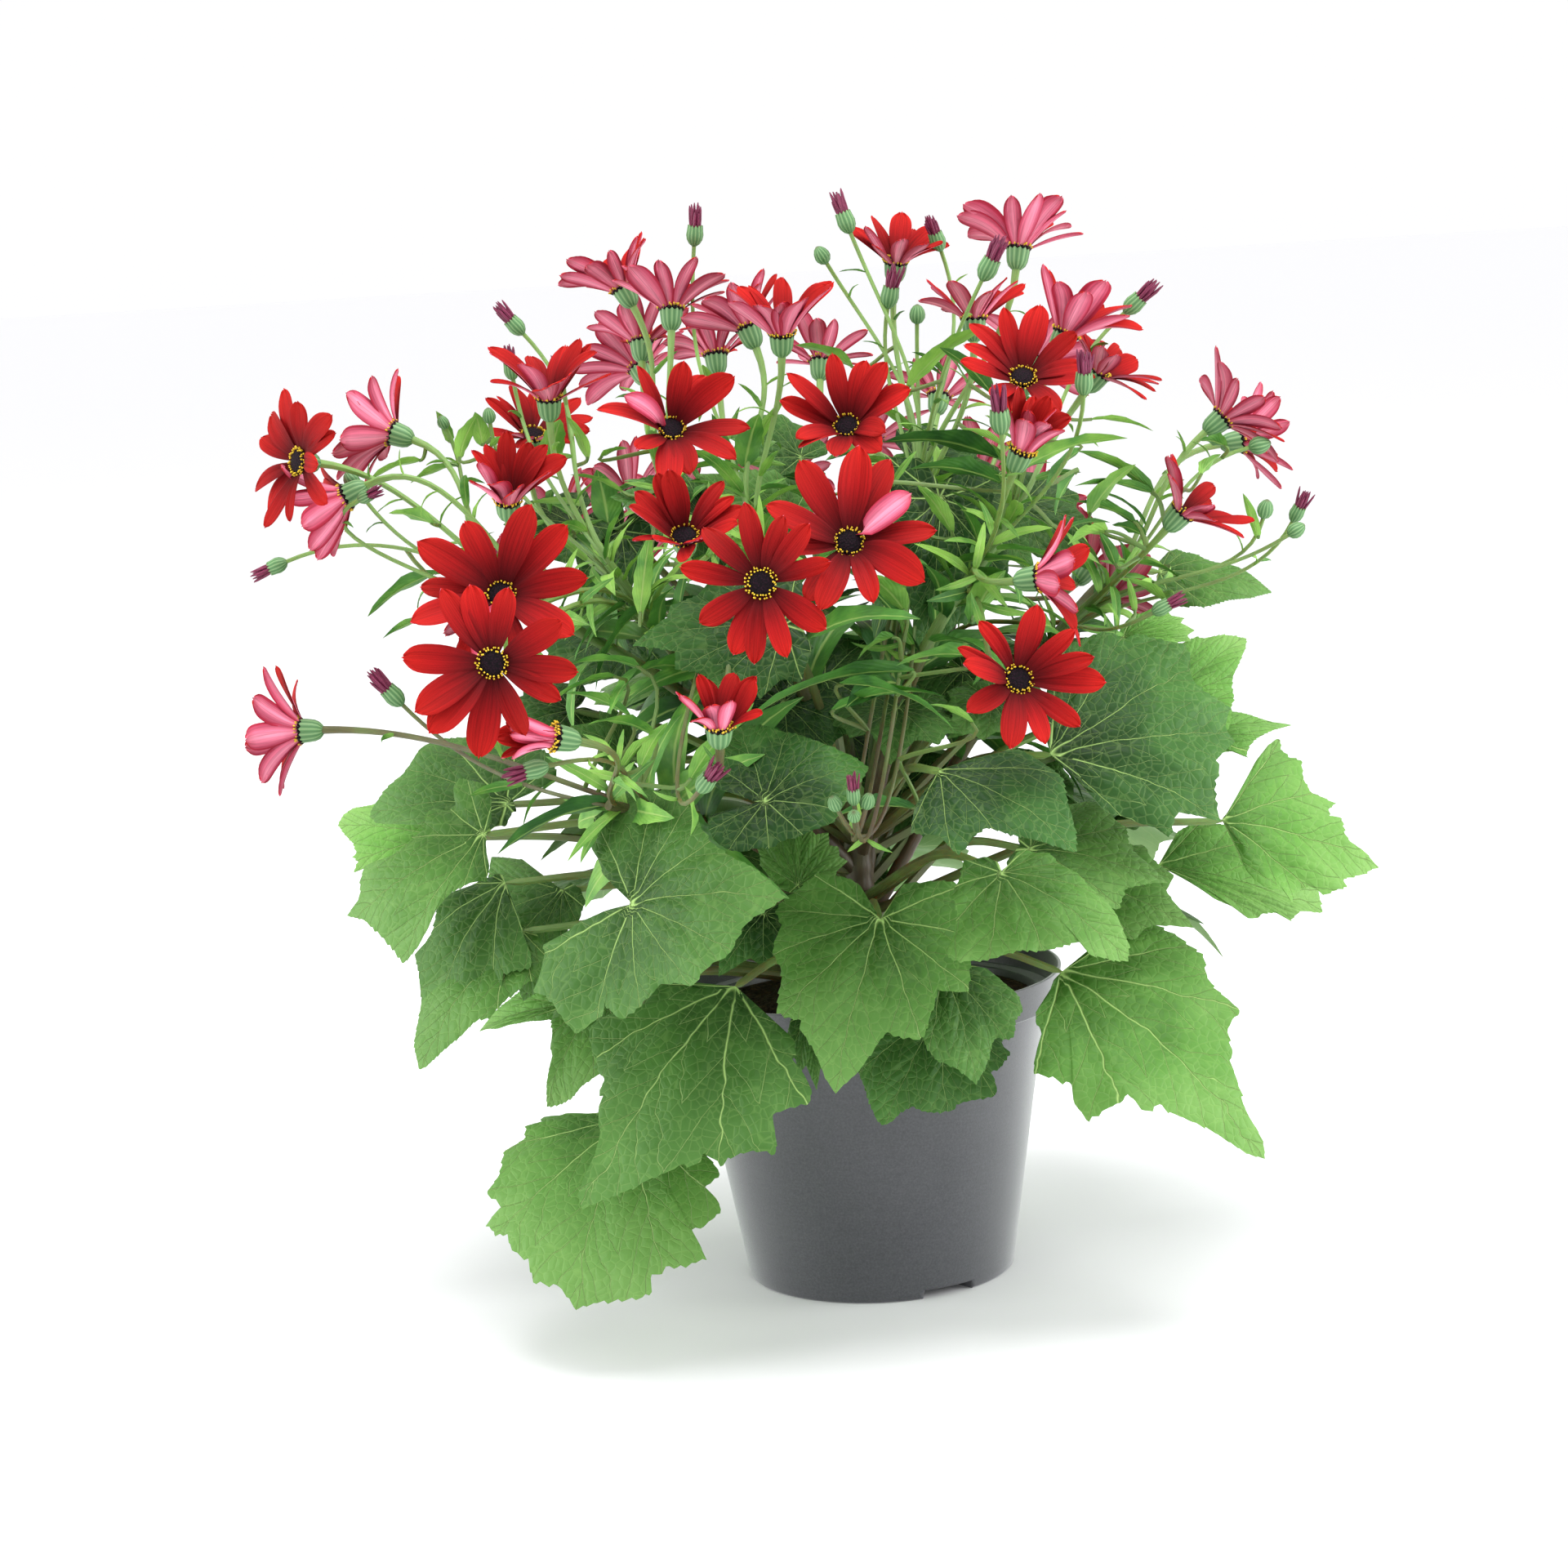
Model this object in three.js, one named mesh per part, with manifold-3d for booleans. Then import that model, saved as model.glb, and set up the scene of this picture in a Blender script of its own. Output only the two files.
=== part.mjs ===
// A potted cineraria: a grower's pot of potting soil, a short main stem that forks into
// leafy flower stems, broad lobed leaves on stalks, and daisy flowers with twelve petals.
// Millimetres, +Z up. The origin is the centre of the pot's foot, and -Y is the front.
import * as THREE from "three";
import { mergeVertices } from "three/addons/utils/BufferGeometryUtils.js";
import Module from "manifold-3d";

const wasm = await Module();
wasm.setup();

// Pot
const POT_HEIGHT = 132;
const POT_FOOT_RADIUS = 58;
const POT_SHOULDER_RADIUS = 77.6;
const POT_RIM_RADIUS = 85;
const POT_COLLAR_HEIGHT = 14;
const POT_WALL = 1.6;
const POT_BASE = 6;
const POT_SIDES = 40;
const CHANNEL_WIDTH = 24;
const CHANNEL_HEIGHT = 4;
const CHANNEL_START = 16;
const CHANNEL_TURNS = [29, 149, 269];
const DRAIN_HOLE_RADIUS = 4;
const DRAIN_HOLE_PLACE = 32;

// Soil and stems
const SOIL_TOP = 117;
const SOIL_CROWN = 2.5;
const MAIN_STEM_RADIUS = 7;
const MAIN_STEM_FOOT = 62;
const MAIN_STEM_TOP = 205;
const STEM_RADIUS = 2.9;
const STALK_RADIUS = 1.5;
const LEAF_STALK_RADIUS = 2;
const STEM_SIDES = 6;
const STALK_SIDES = 4;
const STALK_STEPS = 4;

// Flowers, buds and leaves
const PETALS = 12;
const PETAL_NOTCH = 0.3;
const DISC_RADIUS = 6.2;
const DISC_HEIGHT = 2;
const CUP_DEPTH = 11;
const CUP_RADIUS = 5.2;
const BUD_LENGTH = 19;
const BUD_RADIUS = 4.2;
const BLADE_THICKNESS = 1.6;
const RIM_CLEARANCE = 14;
const GAP = 0.4;

// The front view that the plant's places were read from: a point of that picture and a
// depth behind the pot's centre give a place.
const VIEW_DISTANCE = 1500;
const VIEW_HEIGHT = 456;
const VIEW_TURN = THREE.MathUtils.degToRad(-1.17);
const VIEW_DIP = THREE.MathUtils.degToRad(9.08);
const VIEW_ROLL = THREE.MathUtils.degToRad(-3.4);
const VIEW_FOCAL = 4311;
const VIEW_MIDDLE = 960;

const UP = new THREE.Vector3(0, 0, 1);
const viewFrom = new THREE.Vector3(0, -VIEW_DISTANCE, VIEW_HEIGHT);
const viewAhead = new THREE.Vector3(
  Math.sin(VIEW_TURN) * Math.cos(VIEW_DIP),
  Math.cos(VIEW_TURN) * Math.cos(VIEW_DIP),
  -Math.sin(VIEW_DIP),
);
const viewRight = new THREE.Vector3()
  .crossVectors(viewAhead, UP)
  .normalize()
  .applyAxisAngle(viewAhead, -VIEW_ROLL);
const viewUp = new THREE.Vector3().crossVectors(viewRight, viewAhead);

// The line of sight through picture point (u, v).
function sightAt(u, v) {
  return viewAhead
    .clone()
    .addScaledVector(viewRight, (u - VIEW_MIDDLE) / VIEW_FOCAL)
    .addScaledVector(viewUp, (VIEW_MIDDLE - v) / VIEW_FOCAL);
}

// The place seen at picture point (u, v), at depth y.
function seen(u, v, y) {
  const sight = sightAt(u, v);
  return viewFrom.clone().addScaledVector(sight, (y - viewFrom.y) / sight.y);
}

// The place seen at picture point (u, v), on the plane through a place with a given normal.
function seenOn([u, v], place, normal) {
  const sight = sightAt(u, v);
  const distance = place.clone().sub(viewFrom).dot(normal) / sight.dot(normal);
  return viewFrom.clone().addScaledVector(sight, distance);
}

// A place given by its turn round the pot from the front, its reach and its height.
function around(turn, reach, height) {
  const t = THREE.MathUtils.degToRad(turn);
  return new THREE.Vector3(reach * Math.sin(t), -reach * Math.cos(t), height);
}

// A unit direction: turn 0 faces the front and 90 the right, and rise is above level.
function facing(turn, rise) {
  const r = THREE.MathUtils.degToRad(rise);
  return around(turn, Math.cos(r), Math.sin(r));
}

// The flower stems, each by the places it passes on its way out from the main stem.
const STEMS = [
  [seen(900, 1020, -75), seen(745, 986, -125)],
  [seen(850, 860, -40), seen(610, 720, -70)],
  [seen(860, 840, -60), seen(745, 690, -70)],
  [seen(920, 780, 25), seen(812, 600, 10)],
  [seen(960, 780, -70), seen(915, 620, -60)],
  [seen(1100, 760, 10), seen(1125, 590, 0)],
  [seen(1130, 800, -70), seen(1235, 640, -60)],
  [seen(1220, 860, 20), seen(1375, 700, 10)],
  [around(-150, 60, 240), around(-150, 100, 320)],
  [around(145, 60, 240), around(145, 105, 320)],
];

// A flower: its disc's place, the way it faces, its width when flat, how far its petals
// stand up from flat, in degrees, and the number of its stem.
const flower = (place, face, width, cup, stem) => ({ place, face, width, cup, stem });
const FLOWERS = [
  flower(seen(1247, 303, 20), facing(150, 72), 62, 38, 6),
  flower(seen(1097, 320, 60), facing(30, 75), 56, 42, 6),
  flower(seen(1192, 390, -10), facing(170, 80), 60, 35, 6),
  flower(seen(1305, 408, -60), facing(100, 60), 64, 45, 7),
  flower(seen(1252, 462, -80), facing(0, 45), 60, 30, 7),
  flower(seen(1497, 512, 30), facing(100, 35), 62, 32, 8),
  flower(seen(1448, 627, -50), facing(80, 45), 58, 36, 8),
  flower(seen(1252, 551, -110), facing(50, 60), 52, 50, 7),
  flower(seen(1272, 708, -140), facing(75, 5), 60, 38, 7),
  flower(seen(1247, 832, -175), facing(20, 20), 62, 22, 7),
  flower(seen(1040, 664, -190), facing(5, 25), 70, 20, 6),
  flower(seen(932, 714, -205), facing(-5, 8), 60, 8, 5),
  flower(seen(822, 525, -110), facing(15, 38), 64, 28, 4),
  flower(seen(1037, 522, -120), facing(-10, 40), 62, 25, 6),
  flower(seen(957, 408, -60), facing(10, 75), 62, 32, 5),
  flower(seen(822, 378, 40), facing(170, 72), 56, 42, 4),
  flower(seen(762, 352, 70), facing(-110, 62), 58, 40, 4),
  flower(seen(672, 487, -60), facing(10, 78), 66, 26, 3),
  flower(seen(613, 728, -165), facing(-5, 25), 72, 20, 3),
  flower(seen(603, 812, -215), facing(0, 8), 66, 8, 3),
  flower(seen(365, 565, -70), facing(-50, 10), 60, 15, 2),
  flower(seen(480, 530, -20), facing(-105, 20), 62, 36, 2),
  flower(seen(368, 895, -60), facing(-100, 0), 64, 36, 1),
  flower(around(-150, 180, 392), facing(-150, 48), 64, 25, 9),
  flower(around(150, 190, 385), facing(150, 45), 66, 22, 10),
];

// A closed bud: the place of its foot, the way it points, its size and its stem's number.
const bud = (place, face, size, stem) => ({ place, face, size, stem });
const BUDS = [
  bud(seen(1041, 284, 40), facing(-110, 70), 1, 6),
  bud(seen(850, 300, 60), facing(60, 82), 0.95, 5),
  bud(seen(640, 408, 20), facing(-80, 50), 0.9, 3),
  bud(seen(1087, 376, 30), facing(60, 75), 1, 6),
  bud(seen(1378, 382, 20), facing(80, 40), 1, 7),
  bud(seen(350, 688, -30), facing(-95, -20), 0.85, 2),
  bud(seen(492, 862, -60), facing(-80, 50), 1, 1),
  bud(seen(1583, 638, 10), facing(60, 60), 0.8, 8),
];

// A blade's outline on one side, as turn from the tip and reach: a pointed tip, three lobes
// with notches between them, and the cleft where the stalk joins. The tip's reach is 1.
const BLADE_OUTLINE = [
  [0, 1],
  [15, 0.7],
  [30, 0.82],
  [46, 0.6],
  [62, 0.68],
  [84, 0.52],
  [112, 0.56],
  [150, 0.36],
  [180, 0.07],
];
const SIDE_LOBE = [62, 0.68];
const BASE_LOBE = [132, 0.5];
const BLADE_RINGS = 2;
const BLADE_ARCH = 0.4;
const BLADE_DROOP = 0.22;

function flatPoint([turn, reach]) {
  const t = THREE.MathUtils.degToRad(turn);
  return [reach * Math.cos(t), reach * Math.sin(t)];
}

// A leaf seen in the picture: its stalk's end with a depth, the way its face looks, and the
// tip, side lobe, base lobe, other base lobe and other side lobe, anticlockwise from the tip.
function leaf([u, v, y], face, tip, side, base, otherBase, otherSide, stem) {
  const joint = seen(u, v, y);
  const reachTo = (point) => seenOn(point, joint, face).sub(joint);
  const [ahead, left, leftBase, rightBase, right] = [tip, side, base, otherBase, otherSide].map(reachTo);
  return { joint, face, ahead, sides: [[left, leftBase], [right, rightBase]], stem };
}

// A leaf out of the picture, by its stalk's end, its tip, its face and its width.
function leafBehind(joint, tip, face, broad) {
  const ahead = tip.clone().sub(joint);
  const normal = face.clone().addScaledVector(ahead, -face.dot(ahead) / ahead.lengthSq()).normalize();
  const across = new THREE.Vector3().crossVectors(normal, ahead).multiplyScalar(broad);
  const sides = [1, -1].map((way) =>
    [SIDE_LOBE, BASE_LOBE].map((lobe) => {
      const [x, y] = flatPoint(lobe);
      return ahead.clone().multiplyScalar(x).addScaledVector(across, way * y);
    }),
  );
  return { joint, face: normal, ahead, sides };
}

const LEAVES = [
  leaf([1078, 1126, -118], facing(-5, 35),
    [1024, 1336], [1186, 1212], [1175, 1083], [1000, 1072], [948, 1170]),
  leaf([775, 1107, -150], facing(-35, 30),
    [957, 1098], [850, 982], [727, 1003], [702, 1264], [850, 1210]),
  leaf([901, 1208, -120], facing(-15, 35),
    [717, 1480], [985, 1348], [940, 1200], [865, 1190], [745, 1215]),
  leaf([775, 1370, -85], facing(-20, 45),
    [705, 1600], [885, 1480], [850, 1330], [690, 1300], [622, 1408]),
  leaf([1300, 1190, -90], facing(15, 40),
    [1549, 1420], [1470, 1160], [1318, 1165], [1275, 1195], [1266, 1315]),
  leaf([1227, 1069, -150], facing(15, 45),
    [1380, 1178], [1310, 1062], [1250, 1045], [1140, 1090], [1210, 1174]),
  leaf([1150, 944, -165], facing(10, 50),
    [1318, 1040], [1240, 915], [1175, 925], [1118, 965], [1160, 1040]),
  leaf([1287, 924, -100], facing(20, 30),
    [1510, 900], [1375, 775], [1290, 840], [1300, 975], [1405, 1040]),
  leaf([1497, 1005, -20], facing(20, 35),
    [1685, 1063], [1568, 903], [1500, 985], [1490, 1020], [1528, 1085]),
  leaf([1418, 1060, 35], facing(25, 30),
    [1617, 1118], [1500, 975], [1430, 1010], [1425, 1085], [1495, 1105]),
  leaf([937, 981, -150], facing(-5, 45),
    [1068, 940], [965, 895], [880, 935], [885, 1045], [990, 1030]),
  leaf([592, 1022, -60], facing(-25, 25),
    [494, 1180], [600, 1080], [610, 1028], [572, 955], [468, 1030]),
  leaf([619, 1081, -30], facing(-30, 25),
    [524, 1262], [655, 1160], [632, 1090], [600, 1050], [545, 1085]),
  leaf([620, 985, 10], facing(-20, 35),
    [452, 997], [550, 1030], [640, 1005], [685, 930], [540, 905]),
  leaf([1150, 1235, -100], facing(0, 30),
    [1083, 1378], [1218, 1340], [1240, 1270], [1110, 1190], [1055, 1260]),
  leaf([740, 1215, -20], facing(-25, 30),
    [669, 1355], [770, 1290], [790, 1230], [700, 1190], [665, 1250]),
  leaf([1420, 700, 70], facing(30, 40),
    [1557, 724], [1480, 655], [1420, 670], [1410, 725], [1470, 748], 8),
  leaf([1150, 610, -40], facing(20, 15),
    [1125, 815], [1230, 715], [1215, 590], [1090, 560], [1062, 690], 6),
  leafBehind(around(-125, 120, 175), around(-125, 210, 120), facing(-125, 45), 1.1),
  leafBehind(around(-172, 125, 165), around(-172, 205, 105), facing(-172, 45), 1.15),
  leafBehind(around(140, 125, 185), around(140, 215, 135), facing(140, 45), 1.05),
  leafBehind(around(115, 115, 155), around(115, 180, 112), facing(110, 45), 1.05),
];

const material = (color, roughness) =>
  new THREE.MeshStandardMaterial({ color, roughness, metalness: 0 });
const potPlastic = material(0x6d6e74, 0.55);
const peat = material(0x2b1f17, 1);
const woodyGreen = material(0x5c6340, 0.6);
const stemGreen = material(0x6f8f45, 0.55);
const leafGreen = material(0x3f7a36, 0.55);
const petalRed = material(0xb3161a, 0.6);

// A closed geometry as a solid, whichever way round its faces came out.
function solidFrom(geometry) {
  const bare = geometry.index ? geometry.toNonIndexed() : geometry.clone();
  bare.deleteAttribute("normal");
  bare.deleteAttribute("uv");
  const merged = mergeVertices(bare, 1e-4);
  const corners = merged.index.array;
  const kept = [];
  for (let i = 0; i < corners.length; i += 3) {
    const [a, b, c] = corners.slice(i, i + 3);
    if (a !== b && b !== c && c !== a) kept.push(a, b, c);
  }
  const build = (triVerts) =>
    new wasm.Manifold(
      new wasm.Mesh({
        numProp: 3,
        vertProperties: merged.attributes.position.array,
        triVerts: new Uint32Array(triVerts),
      }),
    );
  const solid = build(kept);
  return solid.volume() > 0 ? solid : build(kept.reverse());
}

function geometryFrom(solid) {
  const mesh = solid.getMesh();
  const positions = new Float32Array(mesh.numVert * 3);
  for (let i = 0; i < mesh.numVert; i++) {
    positions.set(mesh.vertProperties.subarray(i * mesh.numProp, i * mesh.numProp + 3), i * 3);
  }
  const geometry = new THREE.BufferGeometry();
  geometry.setAttribute("position", new THREE.BufferAttribute(positions, 3));
  geometry.setIndex(new THREE.BufferAttribute(mesh.triVerts, 1));
  geometry.computeVertexNormals();
  return geometry;
}

// A solid of revolution about +Z, from [radius, height] pairs.
function turned(profile, sides) {
  const points = profile.map(([radius, height]) => new THREE.Vector2(radius, height));
  return new THREE.LatheGeometry(points, sides).rotateX(Math.PI / 2);
}

// Moves each vertex of a geometry by a function of its place.
function reshape(geometry, move) {
  const position = geometry.attributes.position;
  const point = new THREE.Vector3();
  for (let i = 0; i < position.count; i++) {
    move(point.fromBufferAttribute(position, i));
    position.setXYZ(i, point.x, point.y, point.z);
  }
  return geometry;
}

// A round bar of even thickness along a curve.
function bar(curve, radius, sides, steps) {
  const section = new THREE.Shape();
  for (let i = 0; i < sides; i++) {
    const turn = (i / sides) * 2 * Math.PI;
    const corner = [radius * Math.cos(turn), radius * Math.sin(turn)];
    if (i) section.lineTo(...corner);
    else section.moveTo(...corner);
  }
  section.closePath();
  const options = { steps, bevelEnabled: false, extrudePath: curve };
  return solidFrom(new THREE.ExtrudeGeometry(section, options));
}

// A bending run from one place and heading to another place, which it reaches heading along.
function bend(from, heading, to, along) {
  const pull = from.distanceTo(to) * 0.38;
  return new THREE.CubicBezierCurve3(
    from,
    from.clone().addScaledVector(heading, pull),
    to.clone().addScaledVector(along, -pull),
    to,
  );
}

// The frame of a piece that stands at a place with its own +Z along a direction.
function standing(place, direction) {
  const turn = new THREE.Quaternion().setFromUnitVectors(UP, direction);
  return new THREE.Matrix4().compose(place, turn, new THREE.Vector3(1, 1, 1));
}

function moved(geometry, frame) {
  return geometry.applyMatrix4(frame);
}

const stemCurves = STEMS.map((places, i) => {
  const foot = new THREE.Vector3(0, 0, 150 + ((i * 3) % 7) * 8);
  return new THREE.CatmullRomCurve3([foot, ...places]);
});

// The pot: a tapered wall under a stepped-out collar, and a base with channels beneath it
// that let water out from the drain holes.
function makePot(grow) {
  const shoulder = POT_HEIGHT - POT_COLLAR_HEIGHT;
  const inside = -POT_WALL - grow;
  const solid = solidFrom(
    turned(
      [
        [0, -grow],
        [POT_FOOT_RADIUS + grow, -grow],
        [POT_SHOULDER_RADIUS + grow, shoulder - grow],
        [POT_RIM_RADIUS - 1 + grow, shoulder - grow],
        [POT_RIM_RADIUS + grow, POT_HEIGHT + grow],
        [POT_RIM_RADIUS + inside, POT_HEIGHT + grow],
        [POT_RIM_RADIUS - 1 + inside, shoulder + POT_WALL + grow],
        [POT_SHOULDER_RADIUS + inside, shoulder + POT_WALL + grow],
        [POT_FOOT_RADIUS + 1 + inside, POT_BASE + grow],
        [0, POT_BASE + grow],
      ],
      POT_SIDES,
    ),
  );
  return grow ? solid : CHANNEL_TURNS.reduce(cutChannel, solid);
}

function cutChannel(solid, turn) {
  const length = POT_RIM_RADIUS - CHANNEL_START;
  const channel = new THREE.BoxGeometry(CHANNEL_WIDTH, length, 2 * CHANNEL_HEIGHT);
  channel.translate(0, -CHANNEL_START - length / 2, 0);
  const hole = new THREE.CylinderGeometry(DRAIN_HOLE_RADIUS, DRAIN_HOLE_RADIUS, 3 * POT_BASE, 12);
  hole.rotateX(Math.PI / 2).translate(0, -DRAIN_HOLE_PLACE, 0);
  const frame = new THREE.Matrix4().makeRotationZ(THREE.MathUtils.degToRad(turn));
  return solid
    .subtract(solidFrom(moved(channel, frame)))
    .subtract(solidFrom(moved(hole, frame)));
}

// The soil fills the pot to a little under the rim and is slightly crowned.
function makeSoil() {
  const lift = (SOIL_TOP - POT_BASE) / (POT_HEIGHT - POT_COLLAR_HEIGHT);
  const foot = POT_FOOT_RADIUS - POT_WALL - 1;
  const top = foot + (POT_SHOULDER_RADIUS - POT_FOOT_RADIUS) * lift;
  const profile = [
    [0, POT_BASE + GAP],
    [foot, POT_BASE + GAP],
    [top, SOIL_TOP],
    [top * 0.6, SOIL_TOP + SOIL_CROWN * 0.6],
    [0, SOIL_TOP + SOIL_CROWN],
  ];
  return solidFrom(turned(profile, POT_SIDES));
}

function makeMainStem(grow) {
  const radius = MAIN_STEM_RADIUS + grow;
  const profile = [
    [0, MAIN_STEM_FOOT - grow],
    [radius * 0.6, MAIN_STEM_FOOT - grow],
    [radius, SOIL_TOP],
    [radius * 0.8, MAIN_STEM_TOP - 6 + grow],
    [0, MAIN_STEM_TOP + grow],
  ];
  return solidFrom(turned(profile, 12));
}

// The place on a flower stem where a stalk leaves it. Higher flowers leave nearer its end.
function forkOf(curve, place, rank, count) {
  const share = 0.62 + (0.38 * (rank + 0.5)) / count;
  return { place: curve.getPoint(share), heading: curve.getTangent(share) };
}

// A flower stem with the stalks and closed buds that grow on it.
function makeStem(index, grow) {
  const curve = stemCurves[index];
  const ends = [
    ...FLOWERS.map((f) => ({ ...f, depth: CUP_DEPTH + GAP })),
    ...BUDS.map((b) => ({ ...b, depth: 0 })),
  ].filter((end) => end.stem === index + 1);
  ends.sort((a, b) => a.place.z - b.place.z);
  let solid = bar(curve, STEM_RADIUS + grow, STEM_SIDES, 6);
  ends.forEach((end, rank) => {
    const fork = forkOf(curve, end.place, rank, ends.length);
    const foot = end.place.clone().addScaledVector(end.face, -end.depth);
    const stalk = bend(fork.place, fork.heading, foot, end.face);
    solid = solid.add(bar(stalk, STALK_RADIUS + grow, STALK_SIDES, STALK_STEPS));
    if (!end.depth) solid = solid.add(makeBud(end, grow));
  });
  return solid;
}

// A closed bud: a round green cup and the rolled petals that stand out of it.
function makeBud({ place, face, size }, grow) {
  const radius = BUD_RADIUS * size + grow;
  const length = BUD_LENGTH * size + grow;
  const profile = [
    [0, -1 - grow],
    [radius, length * 0.25],
    [radius * 0.55, length * 0.55],
    [radius * 0.5, length],
    [0, length],
  ];
  return solidFrom(moved(turned(profile, 6), standing(place, face)));
}

// A flower head: a green cup that widens into petals, which stand up by the cup angle round
// a domed disc.
function makeFlower({ place, face, width, cup }, grow) {
  const lift = THREE.MathUtils.degToRad(cup);
  const reach = width / 2 - DISC_RADIUS + grow;
  const rim = DISC_RADIUS + reach * Math.cos(lift);
  const profile = [
    [0, -CUP_DEPTH - grow],
    [CUP_RADIUS + grow, -CUP_DEPTH * 0.6 - grow],
    [rim, reach * Math.sin(lift)],
    [0, DISC_HEIGHT + grow],
  ];
  const head = reshape(turned(profile, 2 * PETALS), (point) => {
    const radius = Math.hypot(point.x, point.y);
    if (radius < rim * 0.95) return;
    const ray = Math.round((Math.atan2(point.y, point.x) / Math.PI) * PETALS);
    if (ray % 2 === 0) return;
    point.multiplyScalar(1 - PETAL_NOTCH);
  });
  return solidFrom(moved(head, standing(place, face)));
}

// The place of a blade's flat point (x, y), found from the two lobes on either side of it.
// Behind the base lobes it is found from the base lobe and the line back from the tip.
function onBlade({ joint, ahead, sides }, x, y) {
  const [side, base] = sides[y < 0 ? 1 : 0];
  const baseReach = (sides[0][1].length() + sides[1][1].length()) / 2;
  const back = ahead.clone().multiplyScalar(-baseReach / (BASE_LOBE[1] * ahead.length()));
  const lobes = [
    [ahead, [0, 1]],
    [side, SIDE_LOBE],
    [base, BASE_LOBE],
    [back, [180, 1]],
  ];
  const turn = THREE.MathUtils.radToDeg(Math.atan2(Math.abs(y), x));
  const last = Math.max(1, lobes.findIndex(([, [lobeTurn]]) => turn <= lobeTurn + 0.01));
  const [near, nearFlat] = lobes[last - 1];
  const [far, farFlat] = lobes[last];
  const [nearX, nearY] = flatPoint(nearFlat);
  const [farX, farY] = flatPoint(farFlat);
  const size = nearX * farY - nearY * farX;
  const nearShare = (x * farY - Math.abs(y) * farX) / size;
  const farShare = (nearX * Math.abs(y) - nearY * x) / size;
  return joint.clone().addScaledVector(near, nearShare).addScaledVector(far, farShare);
}

// A thin sheet made solid: the surface, its reverse, and a wall along its rim, whose
// vertices are the last of the surface's.
function thickened(surface, thickness, rimCount) {
  const count = surface.attributes.position.count;
  const top = surface.clone().translate(...thickness.toArray());
  const bottom = surface.clone().translate(...thickness.clone().negate().toArray());
  const corners = [];
  const faces = surface.index.array;
  for (let i = 0; i < faces.length; i += 3) {
    const [a, b, c] = faces.slice(i, i + 3);
    corners.push(a, b, c, c + count, b + count, a + count);
  }
  for (let a = count - rimCount; a < count - 1; a++) {
    corners.push(a, a + count, a + 1, a + 1, a + count, a + 1 + count);
  }
  const places = [...top.attributes.position.array, ...bottom.attributes.position.array];
  const solid = new THREE.BufferGeometry();
  solid.setAttribute("position", new THREE.Float32BufferAttribute(places, 3));
  solid.setIndex(corners);
  return solid;
}

// A leaf blade is a thin disc, stretched to the outline, arched along its length and
// drooping to its sides. Its centre is where the stalk joins.
function makeBlade(plan, grow) {
  const length = plan.ahead.length();
  const steps = BLADE_OUTLINE.length - 1;
  const disc = new THREE.RingGeometry(0, 1, 2 * steps, BLADE_RINGS);
  const blade = reshape(disc, (point) => {
    const radius = Math.hypot(point.x, point.y);
    const angle = Math.atan2(point.y, point.x);
    const [turn, reach] = BLADE_OUTLINE[Math.round((Math.abs(angle) / Math.PI) * steps)];
    const [x, y] = flatPoint([turn * Math.sign(angle), radius * (reach + grow / length)]);
    const share = Math.max(0, x);
    const rise = length * (BLADE_ARCH * share * (1 - share) - BLADE_DROOP * y * y);
    point.copy(onBlade(plan, x, y).addScaledVector(plan.face, rise));
  });
  const half = plan.face.clone().multiplyScalar(BLADE_THICKNESS / 2 + grow);
  return solidFrom(thickened(blade, half, 2 * steps + 1));
}

// A leaf: its blade, and its stalk back to the main stem or to a flower stem. A stalk whose
// blade hangs lower than the pot's rim first passes over the rim.
function makeLeaf(plan, grow) {
  const outward = plan.joint.clone().setZ(0).normalize();
  const height = THREE.MathUtils.clamp(plan.joint.z - 35, SOIL_TOP + 10, MAIN_STEM_TOP - 15);
  const from = plan.stem
    ? stemCurves[plan.stem - 1].getPoint(0.7)
    : outward.clone().multiplyScalar(MAIN_STEM_RADIUS / 2).setZ(height);
  const low = plan.joint.z < POT_HEIGHT + RIM_CLEARANCE;
  const over = from.clone().lerp(plan.joint, low ? 0.88 : 0.6);
  over.z = Math.max(over.z + 12, POT_HEIGHT + RIM_CLEARANCE);
  const stalk = new THREE.CatmullRomCurve3([from, over, plan.joint]);
  return makeBlade(plan, grow).add(bar(stalk, LEAF_STALK_RADIUS + grow, STALK_SIDES, STALK_STEPS));
}

// Pieces in place, each with a copy that is thicker by the gap. Each new piece is cut back
// from those copies, so that no two touch.
const plant = new THREE.Group();
const inPlace = [];

function largestBody(solid) {
  return solid.decompose().reduce((a, b) => (a.volume() > b.volume() ? a : b));
}

function boxesMeet(a, b) {
  return [0, 1, 2].every((k) => a.min[k] < b.max[k] && b.min[k] < a.max[k]);
}

function addPiece(parent, name, look, frame, make) {
  let solid = make(0);
  for (const other of inPlace) {
    if (boxesMeet(solid.boundingBox(), other.boundingBox())) solid = solid.subtract(other);
  }
  solid = largestBody(solid);
  inPlace.push(make(GAP));
  const mesh = new THREE.Mesh(geometryFrom(solid), look);
  mesh.name = name;
  mesh.geometry.applyMatrix4(frame.clone().invert());
  mesh.applyMatrix4(frame);
  parent.add(mesh);
}

const number = (i) => String(i + 1).padStart(2, "0");
const atOrigin = new THREE.Matrix4();
const [container, stems, foliage, blooms] = [0, 1, 2, 3].map(() => new THREE.Group());
plant.add(container, stems, foliage, blooms);

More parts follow.
